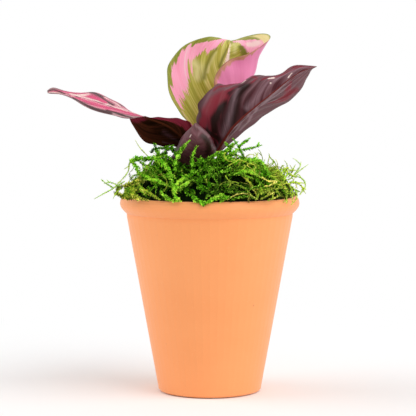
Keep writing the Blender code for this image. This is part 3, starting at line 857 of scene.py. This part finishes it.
# The matted bed: its crown and how far it falls to the edge, and (x, y, size across, height) of its
# lumps and hollows, in millimetres
BED_CROWN, BED_FALL, BED_EDGE = 157.5, 15.0, 61.0
BED_RINGS = (2, 8, 14, 20, 26, 32, 38, 43, 48, 52, 55.5, 57.5, 57.8)
BED_ENDS = (150.0, 126.0)  # its height on the innermost and the outermost ring
LUMPS = [
    (-36, -17, 11, 9), (-3, -43, 12, 7), (26, -30, 13, 6), (44, -12, 10, 2), (-50, -14, 8, -4),
    (13, -33, 9, 7), (58, -14, 9, -12), (20, 30, 16, 4), (-26, 34, 14, 3), (-21, -36, 7, -8),
]
BARE = (57.0, -15.0, 10.0)  # a hollow at the rim that the seeded strands keep out of: x, y, reach
# where the loose strands lie in shadow or stand out pale: (x, y, reach, share of their shade)
SHADOWS = [(19, -56, 20, 0.25), (-20, -37, 10, 0.35), (33, -41, 10, 1.7)]

# Colours of strands by tone, from fresh green to straw, in even light
TONES = {
    0.0: (42, 90, 2), 0.2: (62, 122, 6), 0.4: (96, 158, 22), 0.55: (148, 188, 62), 0.7: (158, 168, 52),
    0.85: (198, 192, 90), 1.0: (228, 208, 144),
}
SHADE_RANGE = (0.03, 2.4)  # how much of its colour a strand keeps at shade 0 and at shade 1
CHART_EDGE = (0.012, 0.985)  # the part of the chart that strands use

# How far from the middle strands start, turn back and end at most, and how far the wiry ones reach
START_REACH, TURN_BACK, REACH, WIRY_REACH = 59.5, 58, 61.5, 66
LEAFLET_STEP = 0.6  # from one leaflet to the next along a strand, as a share of their length
# what a dull, a plain and a bright leaflet add to their shade, the odds of each, and the tone's share:
# painted shade and painted highlights on leaflets picked at random
GLINT, GLINT_ODDS, GLINT_TONE = (-0.8, 0.0, 1.2), (0.38, 0.34, 0.28), 0.11
# layers from the dark mat up: (strands in a sector, rise above the bed, most lift, leaflet length, shade)
# the low shade of the lower layers is painted shade deep in the moss
LAYERS = [
    (34, -1.2, 0.0, 1.35, 0.03), (16, 0.8, 3.0, 1.4, 0.2),
    (14, 2.0, 5.0, 1.5, 0.6), (18, 2.2, 6.0, 0.95, 0.82),
]
WIRY = {"everywhere": 3, "left": 9, "right": 48}  # wiry strands in a sector, and more at the sides
# (rows of leaflets round the stem, the stem's thickness as a share of a leaflet's length)
STYLES = {"leafy": (8, 0.2), "thin": (3, 0.45), "layer": (5, 0.2), "wiry": (2, 0.45)}
LEAFY_SIZE = 1.2  # single strands with longer leaflets than this are leafy and the others thin
SPRIG_CORE = 0.4  # the stem's thickness in a sprig
MOSS_SEED, BED_SEED, SPRIG_SEED = 40, 80, 200


def bed(x, y):
    """Height of the matted bed that the strands lie on."""
    r, turn = np.hypot(x, y), np.arctan2(y, x)
    height = BED_CROWN - BED_FALL * np.clip(r / BED_EDGE, 0, 1.1) ** 5
    height = height + 1.3 * np.sin(5 * turn + 0.11 * r) * np.cos(0.21 * r + 2 * turn)
    for lump_x, lump_y, size, tall in LUMPS:
        height = height + tall * np.exp(-((x - lump_x) ** 2 + (y - lump_y) ** 2) / (2 * size**2))
    return height


class Strands:
    """Collects the quads of many strands."""

    def __init__(self, seed):
        self.rng = np.random.default_rng(seed)
        self.points, self.quads, self.places, self.count = [], [], [], 0

    def add(self, points, quads, low, box):
        """Points and quads, each quad coloured by the box of the chart that starts at its low corner."""
        self.points.append(points)
        self.quads.append(quads + self.count)
        self.places.append(np.clip(low + np.array(box), *CHART_EDGE))
        self.count += len(points)

    def stem(self, path, radius, tone, shade, sides=4):
        taper = np.linspace(1, 0.45, len(path)) * self.rng.uniform(0.75, 1.25, len(path))
        rings = tube_rings(path, radius * taper, sides)
        patch = 1 + self.rng.choice([-0.35, 0.0, 0.35], (len(path) - 1, sides))
        low = np.stack([np.full(patch.shape, tone), shade * patch], -1).reshape(-1, 1, 2)
        box = [(0, 0), (0.012, 0), (0.012, 0.04), (0, 0.04)]
        self.add(rings.reshape(-1, 3), tube_quads(len(path), sides), low, box)

    def leaflets(self, path, along, side, up, size, tone, shade, rows):
        """Short blunt leaves all round the stem, standing well out from it."""
        rng, count = self.rng, len(path)
        reach = np.linspace(0, 1, count)
        for row in range(rows):
            turn = 2 * math.pi * row / rows + rng.uniform(-0.5, 0.5, count)
            outward = np.cos(turn)[:, None] * side + np.sin(turn)[:, None] * up
            flat = np.cross(along, outward)
            lean = rng.uniform(0.7, 1.3, count)[:, None]
            aim = np.cos(lean) * along + np.sin(lean) * outward
            taper = np.minimum(1, 1.5 - 1.1 * reach) * rng.uniform(0.65, 1.3, count)
            long = (size * taper)[:, None]
            broad = long * rng.uniform(0.28, 0.44, count)[:, None]
            base = path + 0.1 * size * outward + along * rng.uniform(-0.25, 0.25, count)[:, None]
            middle = base + 0.55 * long * aim
            tip = base + long * aim + 0.2 * long * along + rng.normal(0, 0.08, (count, 3)) * long
            corners = np.stack([base, middle + broad * flat, tip, middle - broad * flat], 1)
            quads = np.arange(4 * count).reshape(count, 4)
            tones = tone + 0.05 * (reach - 0.5) + rng.normal(0, 0.03, count)
            # leaflets that face up are painted lighter, and leaflets picked at random much lighter or darker
            # and yellower when light: painted light and shade. Each leaflet is darker at its base than at its
            # tip.
            glint = rng.choice(GLINT, count, p=GLINT_ODDS)
            shade_with_painted_light = shade * (1 + 0.35 * np.sin(turn) + glint)
            swing = 0.03 + 0.3 * shade
            box = [(-0.04, -swing), (0.008, 0), (0.06, swing), (-0.008, 0)]
            low = np.stack([tones + GLINT_TONE * glint, shade_with_painted_light], -1)[:, None]
            self.add(corners.reshape(-1, 3), quads, low, box)

    def rope(self, keys, size, tone, shade, branches, rows, core):
        """A leafy strand through the keys, with side branches; core is its stem's share of the leaflets."""
        rng = self.rng
        keys = np.asarray(keys, float)
        rough = smooth_curve(keys, np.linspace(0, 1, 12 * len(keys)))
        run = np.concatenate([[0], np.cumsum(np.linalg.norm(np.diff(rough, axis=0), axis=1))])
        count = max(5, int(run[-1] / (LEAFLET_STEP * size)))
        at = np.linspace(0, run[-1], count)
        path = np.stack([np.interp(at, run, rough[:, k]) for k in range(3)], 1)
        along = unit(np.gradient(path, axis=0))
        level = unit(np.cross(along, (0.0, 0.15, 1.0)))
        roll = rng.uniform(-0.5, 0.5)
        up = unit(np.cross(level, along))
        side = math.cos(roll) * level + math.sin(roll) * up
        up = np.cross(side, along)
        self.stem(path[:: max(1, count // 20)], core * size, tone, shade * (0.5 + core))
        self.leaflets(path, along, side, up, size, tone, shade, rows)
        for _ in range(branches):
            k = int(rng.uniform(0.1, 0.85) * count)
            lean = rng.choice([-1, 1]) * rng.uniform(0.6, 1.2)
            aim = unit(along[k] + lean * side[k] + rng.uniform(-0.2, 0.5) * up[k])
            long = rng.uniform(3.0, 6.5)
            bend = rng.normal(0, 0.2, 3) * long
            keys = [path[k], path[k] + 0.5 * long * aim + 0.3 * bend, path[k] + long * aim + bend]
            self.rope(keys, size * 0.75, tone + rng.uniform(-0.02, 0.06), shade * 1.1, 0, rows, core)

    def build(self, name):
        places = np.concatenate(self.places)
        maps = {"OFBake": places, "Tone": places}
        made = build_mesh(name, np.concatenate(self.points), np.concatenate(self.quads), maps)
        made.data.materials.append(bpy.data.materials.get("moss_strands") or moss_material())
        return made


def moss_material():
    """Colour by place on a chart: tone along it and shade up it."""
    material, tree, shader = new_material("moss_strands", 0.85, 0.1)
    place = put("UVMap", tree=tree, uv_map="Tone").outputs[0]
    chart = put("SeparateXYZ", {0: place})
    tone = shades(chart.outputs[0], TONES.keys(), TONES.values())
    low, high = SHADE_RANGE
    limits = {"Value": chart.outputs[1], "To Min": low, "To Max": high}
    shade = put("MapRange", limits).outputs["Result"]
    grey = put("CombineXYZ", {0: shade, 1: shade, 2: shade}).outputs[0]
    tree.links.new(blend(1.0, tone, grey, "MULTIPLY"), shader.inputs["Base Color"])
    return material


def bare(x, y):
    """True in the hollow that the seeded strands keep out of."""
    return math.hypot(x - BARE[0], y - BARE[1]) < BARE[2]


def above_rim(x, y, height, clear):
    """That height, kept clear of the rim where the strand crosses it."""
    return max(height, RIM_TOP + clear) if math.hypot(x, y) > RIM_INNER else height


def wander(rng, x, y, heading, long, lift, drop):
    """Keys of a strand that winds over the bed and the rim, rising by lift in its middle."""
    count = max(4, int(long / 4))
    turn = rng.uniform(-0.5, 0.5)
    keys = []
    for k in range(count + 1):
        rise = drop + lift * math.sin(math.pi * k / count) + rng.uniform(-0.7, 0.9)
        keys.append((x, y, above_rim(x, y, float(bed(x, y)) + rise, 1.4)))
        if bare(x, y) and len(keys) > 2:
            break
        turn = 0.6 * turn + rng.normal(0, 0.5)
        heading += turn
        x += long / count * math.cos(heading)
        y += long / count * math.sin(heading)
        r = math.hypot(x, y)
        if r > TURN_BACK:
            heading += 1.1 if x * math.sin(heading) - y * math.cos(heading) < 0 else -1.1
        if r > REACH:
            x, y = x * REACH / r, y * REACH / r
    return keys


def wind(rng, start, aim, long, tight):
    """Keys of a wiry strand that winds freely from its start, staying inside the rim or above it."""
    count = max(4, int(long / 2.5))
    heading = unit(np.asarray(aim, float))
    axis = unit(rng.normal(0, 1, 3))
    place, keys = np.asarray(start, float), []
    turn = rng.choice([-1, 1]) * tight
    for _ in range(count):
        keys.append(place)
        axis = unit(axis + rng.normal(0, 0.25, 3))
        heading = unit(heading + turn * np.cross(axis, heading))
        place = place + long / count * heading
        r = math.hypot(place[0], place[1])
        if r > WIRY_REACH:
            place = place * (WIRY_REACH / r, WIRY_REACH / r, 1)
        place = np.array([place[0], place[1], above_rim(place[0], place[1], place[2], 1.0)])
    return keys


def lay_bed(strands, middle, half, seed):
    """The matted clump under one sector's strands, coloured near black: painted shade deep in the moss."""
    turns = np.linspace(middle - half, middle + half, 15)
    rng = np.random.default_rng(seed)
    r, t = np.meshgrid(BED_RINGS, turns, indexing="ij")
    x, y = r * np.cos(t), r * np.sin(t)
    z = bed(x, y) - 3.0 + rng.uniform(-1.2, 1.0, r.shape)
    z[:, (0, -1)] = bed(x, y)[:, (0, -1)] - 3.5
    z[0], z[-1] = BED_ENDS
    quads = grid_quads(np.arange(r.size).reshape(r.shape).T)
    # the bed's near-black colour is painted shade
    low = np.tile((0.1, CHART_EDGE[0]), (len(quads), 1, 1))
    box = [(0, 0), (0.02, 0), (0.02, 0.018), (0, 0.018)]
    strands.add(np.stack([x, y, z], -1).reshape(-1, 3), quads, low, box)


def lay_layers(strands, middle, step_turn):
    """The seeded strands that wander over one sector, layer by layer."""
    rng = strands.rng
    for number, drop, lift, size, shade in LAYERS:
        for _ in range(number):
            turn = middle + rng.uniform(-0.5, 0.5) * step_turn
            r = START_REACH * rng.uniform(0.02, 1.0) ** 0.38
            x, y = r * math.cos(turn), r * math.sin(turn)
            if bare(x, y):
                continue
            heading = rng.uniform(0, 2 * math.pi)
            keys = wander(rng, x, y, heading, rng.uniform(12, 28), rng.uniform(0, lift), drop)
            dim = (shade + rng.normal(0, 0.09)) * shadow_at(x, y)
            size_here, tone = size * rng.uniform(0.8, 1.2), tone_at(x, rng)
            strands.rope(keys, size_here, tone, dim, int(rng.integers(0, 3)), *STYLES["layer"])


def lay_wiry(strands, middle, step_turn):
    """The seeded wiry strands of one sector, most of them on the right."""
    rng = strands.rng
    side = "right" if math.cos(middle) > 0.1 else "left"
    for _ in range(round(WIRY["everywhere"] + abs(math.cos(middle)) * WIRY[side])):
        turn = middle + rng.uniform(-0.5, 0.5) * step_turn
        r = rng.uniform(36, 60)
        x, y = r * math.cos(turn), r * math.sin(turn)
        if bare(x, y):
            continue
        outward = [0.5 * part + rng.normal(0, 0.5) for part in (math.cos(turn), math.sin(turn))]
        aim = (*outward, rng.uniform(0.0, 1.0))
        tone = float(np.clip(rng.normal(0.66, 0.07), 0.5, 0.9))
        start = (x, y, float(bed(x, y)) + 1.0)
        keys = wind(rng, start, aim, rng.uniform(10, 22), rng.uniform(0.35, 0.8))
        shade = rng.uniform(0.3, 1.0) * min(1, shadow_at(x, y))
        size = rng.uniform(0.6, 0.95)
        strands.rope(keys, size, tone, shade, int(rng.integers(0, 3)), *STYLES["wiry"])


def make_moss():
    step_turn = 2 * math.pi / len(SECTORS)
    for index, side in enumerate(SECTORS):
        middle = -math.pi / 2 + index * step_turn
        strands = Strands(MOSS_SEED + index)
        lay_bed(strands, middle, step_turn / 2, BED_SEED + index)
        lay_layers(strands, middle, step_turn)
        lay_wiry(strands, middle, step_turn)
        for size, tone, shade, branches, keys in STRANDS:
            x, y = np.mean(keys, axis=0)[:2]
            off = (math.atan2(y, x) - middle + math.pi) % (2 * math.pi) - math.pi
            if -step_turn / 2 <= off < step_turn / 2:
                style = "leafy" if size > LEAFY_SIZE else "thin"
                strands.rope(keys, size, tone, shade, branches, *STYLES[style])
        settle(strands.build(f"moss_{side}_strands"), "moss", f"moss_{side}")


def tone_at(x, rng):
    """Tone of a strand that starts there: fresh green in the middle, olive at both low ends."""
    outer = np.clip((abs(x + 2) - 34) / 24, 0, 1)
    return float(np.clip(rng.normal(0.3 + 0.33 * outer, 0.09), 0.08, 0.8))


def shadow_at(x, y):
    """Share of its shade that a loose strand keeps there."""
    kept = [share for at_x, at_y, reach, share in SHADOWS if math.hypot(x - at_x, y - at_y) < reach]
    return kept[0] if kept else 1.0


# Single strands that show: (leaflet length, tone, shade, side branches, points).
STRANDS = [
    # the arch on the left and the tangle inside it
    (2.4, 0.44, 1.25, 6, [(-56, -30, 167), (-54, -30, 169), (-51, -32, 170), (-44, -35, 170),
        (-38, -38, 170), (-33, -42, 167), (-29, -47, 163), (-27, -51, 157), (-25, -56, 151), (-24, -60, 146),
        (-25, -63.5, 142)]),
    (2.0, 0.46, 1.15, 5, [(-55, -31, 170), (-52, -34, 164), (-48, -38, 159), (-43, -43, 157),
        (-37, -47, 155), (-31, -51, 153), (-26, -54, 151)]),
    (0.9, 0.6, 0.6, 2, [(-56, -30, 169), (-57, -32, 164), (-58, -33, 160), (-63, -33, 154),
        (-68, -32, 149)]),
    (1.25, 0.42, 0.6, 2, [(-50, -33, 170), (-48, -34, 167), (-44, -36, 164), (-41, -38, 159)]),
    (1.25, 0.4, 0.6, 2, [(-44, -35, 170), (-47, -35, 166), (-46, -36, 162), (-48, -37, 159)]),
    (1.3, 0.38, 0.6, 3, [(-40, -37, 169), (-42, -37, 165), (-39, -39, 162), (-42, -42, 158)]),
    (1.5, 0.3, 0.6, 3, [(-39, -28, 181), (-38, -29, 177), (-36, -32, 173), (-35, -36, 169)]),
    # under the left leaf
    (1.6, 0.26, 0.5, 5, [(-42, -28, 174), (-38, -27, 177), (-33, -27, 177), (-28, -28, 177),
        (-24, -30, 174)]),
    (1.8, 0.22, 0.4, 5, [(-35, -29, 172), (-31, -29, 175), (-27, -30, 177), (-24, -32, 173)]),
    (1.8, 0.36, 0.8, 5, [(-44, -30, 169), (-37, -31, 171), (-31, -33, 172), (-26, -36, 169)]),
    # olive strands that hang on the left
    (1.9, 0.66, 0.5, 3, [(-66, -30, 147), (-63, -32, 150), (-57, -35, 152), (-52, -38, 154),
        (-46, -42, 154)]),
    (1.9, 0.64, 0.5, 3, [(-67, -31, 146), (-62, -37, 144), (-57, -42, 143), (-50, -47, 143),
        (-43, -53, 142)]),
    (1.7, 0.64, 0.85, 3, [(-55, -37, 151), (-54, -40, 148), (-52, -44, 144), (-47, -49, 142)]),
    (1.7, 0.58, 0.66, 3, [(-52, -39, 153), (-47, -45, 149), (-41, -51, 146), (-35, -57, 143)]),
    # the feathery middle and the thick strands low in front
    (2.1, 0.5, 1.7, 5, [(-13, -48, 159), (-18, -52, 157), (-22, -55, 154), (-25, -58, 150),
        (-24, -60.5, 146), (-20, -63, 142)]),
    (1.8, 0.5, 1.6, 4, [(-26, -57, 150), (-21, -58, 151), (-16, -56, 154), (-11, -52, 156)]),
    (1.9, 0.34, 0.8, 5, [(-16, -50, 157), (-12, -48, 160), (-7, -47, 162), (-1, -46, 163), (6, -45, 164),
        (13, -44, 165)]),
    (1.8, 0.34, 0.55, 5, [(-10, -53, 155), (-3, -51, 158), (3, -50, 160), (9, -48, 161), (15, -46, 162)]),
    (1.5, 0.28, 0.5, 4, [(-10, -43, 165), (-4, -41, 167), (2, -40, 169), (7, -39, 171)]),
    (1.5, 0.28, 0.42, 4, [(-12, -46, 163), (-10, -46, 166), (-7, -46, 168), (-3, -45, 169), (1, -44, 170)]),
    (2.0, 0.37, 0.85, 5, [(-11, -57, 149), (-12, -60, 146), (-9, -63, 143), (-4, -65, 141), (2, -64.5, 143),
        (7, -63, 144), (13, -60, 145)]),
    (1.7, 0.46, 0.95, 4, [(-34, -54, 149), (-32, -58, 145), (-27, -61, 143), (-22, -63, 142)]),
    # the arch right of the middle
    (2.5, 0.42, 1.5, 7, [(16, -42, 167), (20, -40, 168), (26, -38, 169), (32, -37, 169), (37, -37, 166),
        (40, -38, 162), (42, -40, 158)]),
    (1.8, 0.5, 1.4, 5, [(13, -45, 163), (19, -44, 164), (25, -43, 163), (30, -43, 161), (35, -42, 158)]),
    # at the foot of the forked sprig and of the small leaf
    (2.2, 0.38, 0.95, 5, [(6, -40, 171), (11, -39, 175), (15, -39, 178), (18, -39, 181)]),
    (2.3, 0.42, 1.0, 5, [(8, -42, 169), (13, -41, 172), (19, -40, 175), (21, -40, 176)]),
    (2.0, 0.36, 0.9, 4, [(16, -38, 172), (14, -38, 176), (16, -40, 181)]),
    (2.0, 0.38, 1.15, 5, [(2, -40, 168), (6, -40, 169), (12, -41, 169), (18, -41, 171)]),
    (1.8, 0.36, 0.7, 4, [(-3, -41, 169), (2, -40, 172), (6, -39, 174), (11, -39, 176)]),
    # yellow curls over the rim
    (0.7, 0.68, 0.8, 0, [(11, -44, 175), (10, -45, 172), (13, -47, 169), (16, -47, 169), (18, -46, 171),
        (19, -45, 173)]),
    (0.7, 0.66, 0.8, 1, [(13, -47, 166), (17, -48, 168), (20, -47, 170), (21, -47, 168), (20, -48, 165)]),
    (0.8, 0.66, 0.8, 1, [(23, -46, 163), (26, -46, 166), (29, -46, 167), (32, -46, 165), (29, -47, 162)]),
    (0.8, 0.8, 0.6, 1, [(12, -61, 143), (15, -61, 145), (20, -61, 147), (26, -60, 147), (30, -59, 145),
        (33, -58, 143)]),
    # in the dark pocket right of the middle; the strands with a low shade are painted shade
    (0.9, 0.72, 0.6, 1, [(23, -48, 158), (27, -51, 155), (29, -54, 151), (32, -57, 148)]),
    (1.5, 0.58, 0.8, 2, [(36, -53, 151), (34, -56, 148), (32, -60, 143)]),
    (0.85, 0.62, 0.75, 0, [(11, -50, 159), (12, -53, 157), (15, -55, 155), (17, -55, 155), (20, -55, 154)]),
    (0.8, 0.62, 0.7, 0, [(15, -55, 155), (14, -57, 153), (13, -58, 151)]),
    (1.6, 0.44, 1.0, 3, [(3, -64, 144), (4, -63, 145), (7, -62, 146), (10, -62, 146), (10, -63, 143)]),
    (1.3, 0.36, 0.35, 4, [(15, -62, 143), (21, -60, 145), (27, -59, 145), (33, -58, 144)]),
    (1.3, 0.38, 0.3, 4, [(10, -60, 149), (15, -60, 148), (20, -59, 148), (25, -58, 147)]),
    (1.4, 0.34, 0.32, 4, [(-9, -58, 152), (-4, -58, 150), (2, -59, 148), (8, -58, 150)]),
    (1.4, 0.36, 0.4, 4, [(-4, -54, 156), (2, -56, 153), (8, -56, 152), (15, -55, 154)]),
    (1.3, 0.36, 0.35, 4, [(-3, -62, 144), (2, -60, 148), (7, -58, 150), (13, -57, 150)]),
    (1.3, 0.4, 0.4, 4, [(21, -54, 151), (26, -55, 150), (32, -53, 151), (36, -50, 154)]),
    # low olive strands and pale curls
    (1.2, 0.66, 0.5, 3, [(35, -58, 143), (39, -56, 145), (43, -53, 147), (48, -50, 148)]),
    (1.2, 0.62, 0.4, 3, [(38, -54, 148), (42, -51, 149), (47, -48, 150), (51, -45, 150)]),
    (1.2, 0.64, 0.42, 3, [(40, -56, 142), (45, -53, 144), (49, -49, 145)]),
    (0.95, 0.84, 0.85, 2, [(36, -48, 158), (39, -49, 156), (42, -49, 155), (46, -47, 155)]),
    (0.9, 0.8, 0.85, 2, [(38, -51, 152), (41, -51, 152), (45, -49, 154), (47, -47, 155)]),
    # twigs, curls and stems on the right
    (0.8, 0.6, 0.5, 2, [(47, -26, 163), (46, -25, 167), (43, -24, 170), (42, -24, 171)]),
    (0.9, 0.62, 0.66, 2, [(52, -22, 157), (54, -21, 161), (55, -20, 165), (53, -20, 168)]),
    (0.9, 0.64, 0.66, 2, [(56, -20, 156), (59, -19, 161), (61, -18, 165)]),
    (0.9, 0.62, 0.85, 3, [(37, -38, 155), (41, -37, 158), (45, -37, 157), (49, -37, 154), (52, -36, 154),
        (54, -34, 158)]),
    (0.9, 0.66, 0.9, 3, [(41, -42, 151), (45, -42, 153), (49, -41, 152), (53, -39, 153), (57, -36, 152)]),
    (1.0, 0.6, 0.7, 3, [(34, -46, 152), (38, -48, 149), (42, -47, 150), (46, -46, 149), (49, -45, 145)]),
    (1.0, 0.6, 0.75, 3, [(45, -30, 160), (50, -28, 162), (55, -26, 160), (58, -25, 157), (60, -26, 152)]),
    (1.2, 0.62, 0.95, 4, [(55, -30, 152), (60, -26, 153), (64, -22, 151), (66, -21, 148), (64, -25, 144)]),
    (1.1, 0.6, 0.8, 3, [(52, -32, 155), (56, -28, 159), (60, -24, 157), (63, -21, 158), (66, -19, 154)]),
    (1.1, 0.6, 0.85, 3, [(50, -30, 158), (53, -27, 162), (55, -25, 163), (58, -22, 161), (60, -20, 164)]),
    (0.9, 0.62, 0.8, 2, [(52, -37, 151), (54, -38, 148), (54, -38, 143), (53, -39, 140)]),
    (0.9, 0.6, 0.8, 2, [(56, -34, 151), (58, -36, 147), (58, -37, 143), (58, -38, 139)]),
    (0.9, 0.66, 0.6, 1, [(25, -50, 156), (29, -52, 153), (31, -54, 149), (33, -54, 145)]),
    (0.9, 0.62, 0.45, 1, [(18, -53, 153), (23, -55, 151), (27, -56, 148), (29, -57, 145)]),
    (1.6, 0.46, 1.1, 4, [(12, -49, 159), (18, -49, 160), (24, -49, 159), (30, -48, 157)]),
    (1.6, 0.52, 1.3, 4, [(17, -46, 162), (24, -46, 162), (30, -46, 160), (36, -44, 157)]),
]


# Strands that stand clear of the cushion, each group in place of one sprig of the part.
SPRIGS = {
    "sprig_fork": (1.5, 0.36, 0.85, [
        [(26, -39, 166), (23, -40, 173), (20, -41, 179), (16, -42, 184.5)],
        [(20, -41, 178.5), (24, -44, 182), (28, -46, 185)],
        [(23, -41, 176.5), (29, -44, 178), (36, -46, 180)]]),
    "sprig_over_leaf": (2.2, 0.4, 0.95, [
        [(-25, -44, 162), (-23, -44, 170), (-20, -44, 177), (-14, -44, 183)],
        [(-12, -44, 163), (-12, -44, 172), (-9, -43, 179)]]),
    "sprig_left": (0.6, 0.66, 0.75, [[(-43, -30, 171), (-49, -27, 177), (-53, -24, 183)]]),
    "sprig_far_left": (0.9, 0.54, 0.75, [
        [(-60, -30, 154), (-68, -30, 149), (-75, -28, 145), (-82, -26, 141)],
        [(-68, -30, 149), (-73, -28, 152), (-77, -26, 155)],
        [(-64, -30, 150), (-70, -29, 153), (-75, -28, 152)],
        [(-62, -32, 149), (-66, -34, 146), (-68, -34, 142)]]),
    "sprig_right": (0.9, 0.6, 0.95, [
        [(56, -20, 154), (63, -19, 160), (70, -17, 165)],
        [(59, -20, 157), (66, -19, 155), (68, -19, 149), (64, -20, 144)],
        [(60, -19, 158), (64, -17, 163), (65, -16, 167)]]),
    "sprig_over_rim": (1.0, 0.6, 0.85, [
        [(56, -32, 151), (60.5, -34.5, 147.5), (61, -37, 142.5), (57, -41, 138)]]),
}


def make_sprigs():
    for index, (name, (size, tone, shade, runs)) in enumerate(SPRIGS.items()):
        strands = Strands(SPRIG_SEED + index)
        rows, _ = STYLES["leafy" if size > LEAFY_SIZE else "thin"]
        for run in runs:
            strands.rope(run, size, tone, shade, 1, rows, SPRIG_CORE)
        settle(strands.build(f"{name}_strands"), "moss", name)


# ---- pot and soil


def terracotta_material():
    """Fired clay: smooth and nearly even, with faint clouds, a dusty edge and a few dark specks."""
    material, tree, shader = new_material("terracotta_clay", 0.6, 0.4)
    shader.inputs["Sheen Weight"].default_value = 0.25
    shader.inputs["Sheen Roughness"].default_value = 0.45
    place = put("TexCoord", tree=tree).outputs["Object"]
    cloud = noise(place, (14, 14, 20), 3.0, 0.5)
    grain = noise(place, (700, 700, 700), 2.0, 0.6)
    colour = ramp(cloud, (0.3, 0.7), [(0.935, 0.34, 0.112, 1), (0.965, 0.37, 0.13, 1)])
    dust = times(step(grain, 0.6, 0.75), 0.3)
    colour = blend(dust, colour, (0.96, 0.43, 0.18, 1))
    fleck = put("TexVoronoi", {"Vector": place, "Scale": 60.0}).outputs["Distance"]
    speck = times(step(fleck, 0.06, 0.03), 0.4)
    colour = blend(speck, colour, (0.5, 0.16, 0.06, 1))
    tree.links.new(colour, shader.inputs["Base Color"])
    add_bump(shader, grain, 0.0003, 0.12)
    return material


def soil_material():
    material, tree, shader = new_material("potting_soil", 0.95, 0.2)
    place = put("TexCoord", tree=tree).outputs["Object"]
    grain = noise(place, (420, 420, 420), 4.0, 0.65)
    colour = shades(grain, (0.35, 0.55, 0.7), [(24, 15, 10), (62, 42, 28), (104, 78, 54)])
    tree.links.new(colour, shader.inputs["Base Color"])
    add_bump(shader, grain, 0.002)
    return material


def dress(node, material):
    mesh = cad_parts[node].data
    mesh.materials.clear()
    mesh.materials.append(material)


# ---- the scene

bpy.context.scene.view_settings.view_transform = "Standard"
make_camera()
make_world()
make_sun("key", azimuth=58, elevation=38, spread=60, strength=1.55)
make_sun("fill", azimuth=-92, elevation=30, spread=50, strength=0.95)
make_floor()

dress("pot", terracotta_material())
dress("soil", soil_material())
for order, (name, leaf) in enumerate(LEAVES.items()):
    settle(make_blade(name, BLADE_SEED + order), "leaf", f"leaf_{name}")
    settle(make_stalk(f"stem_{name}", leaf), "stalk", f"stalk_{name}")
make_moss()
make_sprigs()
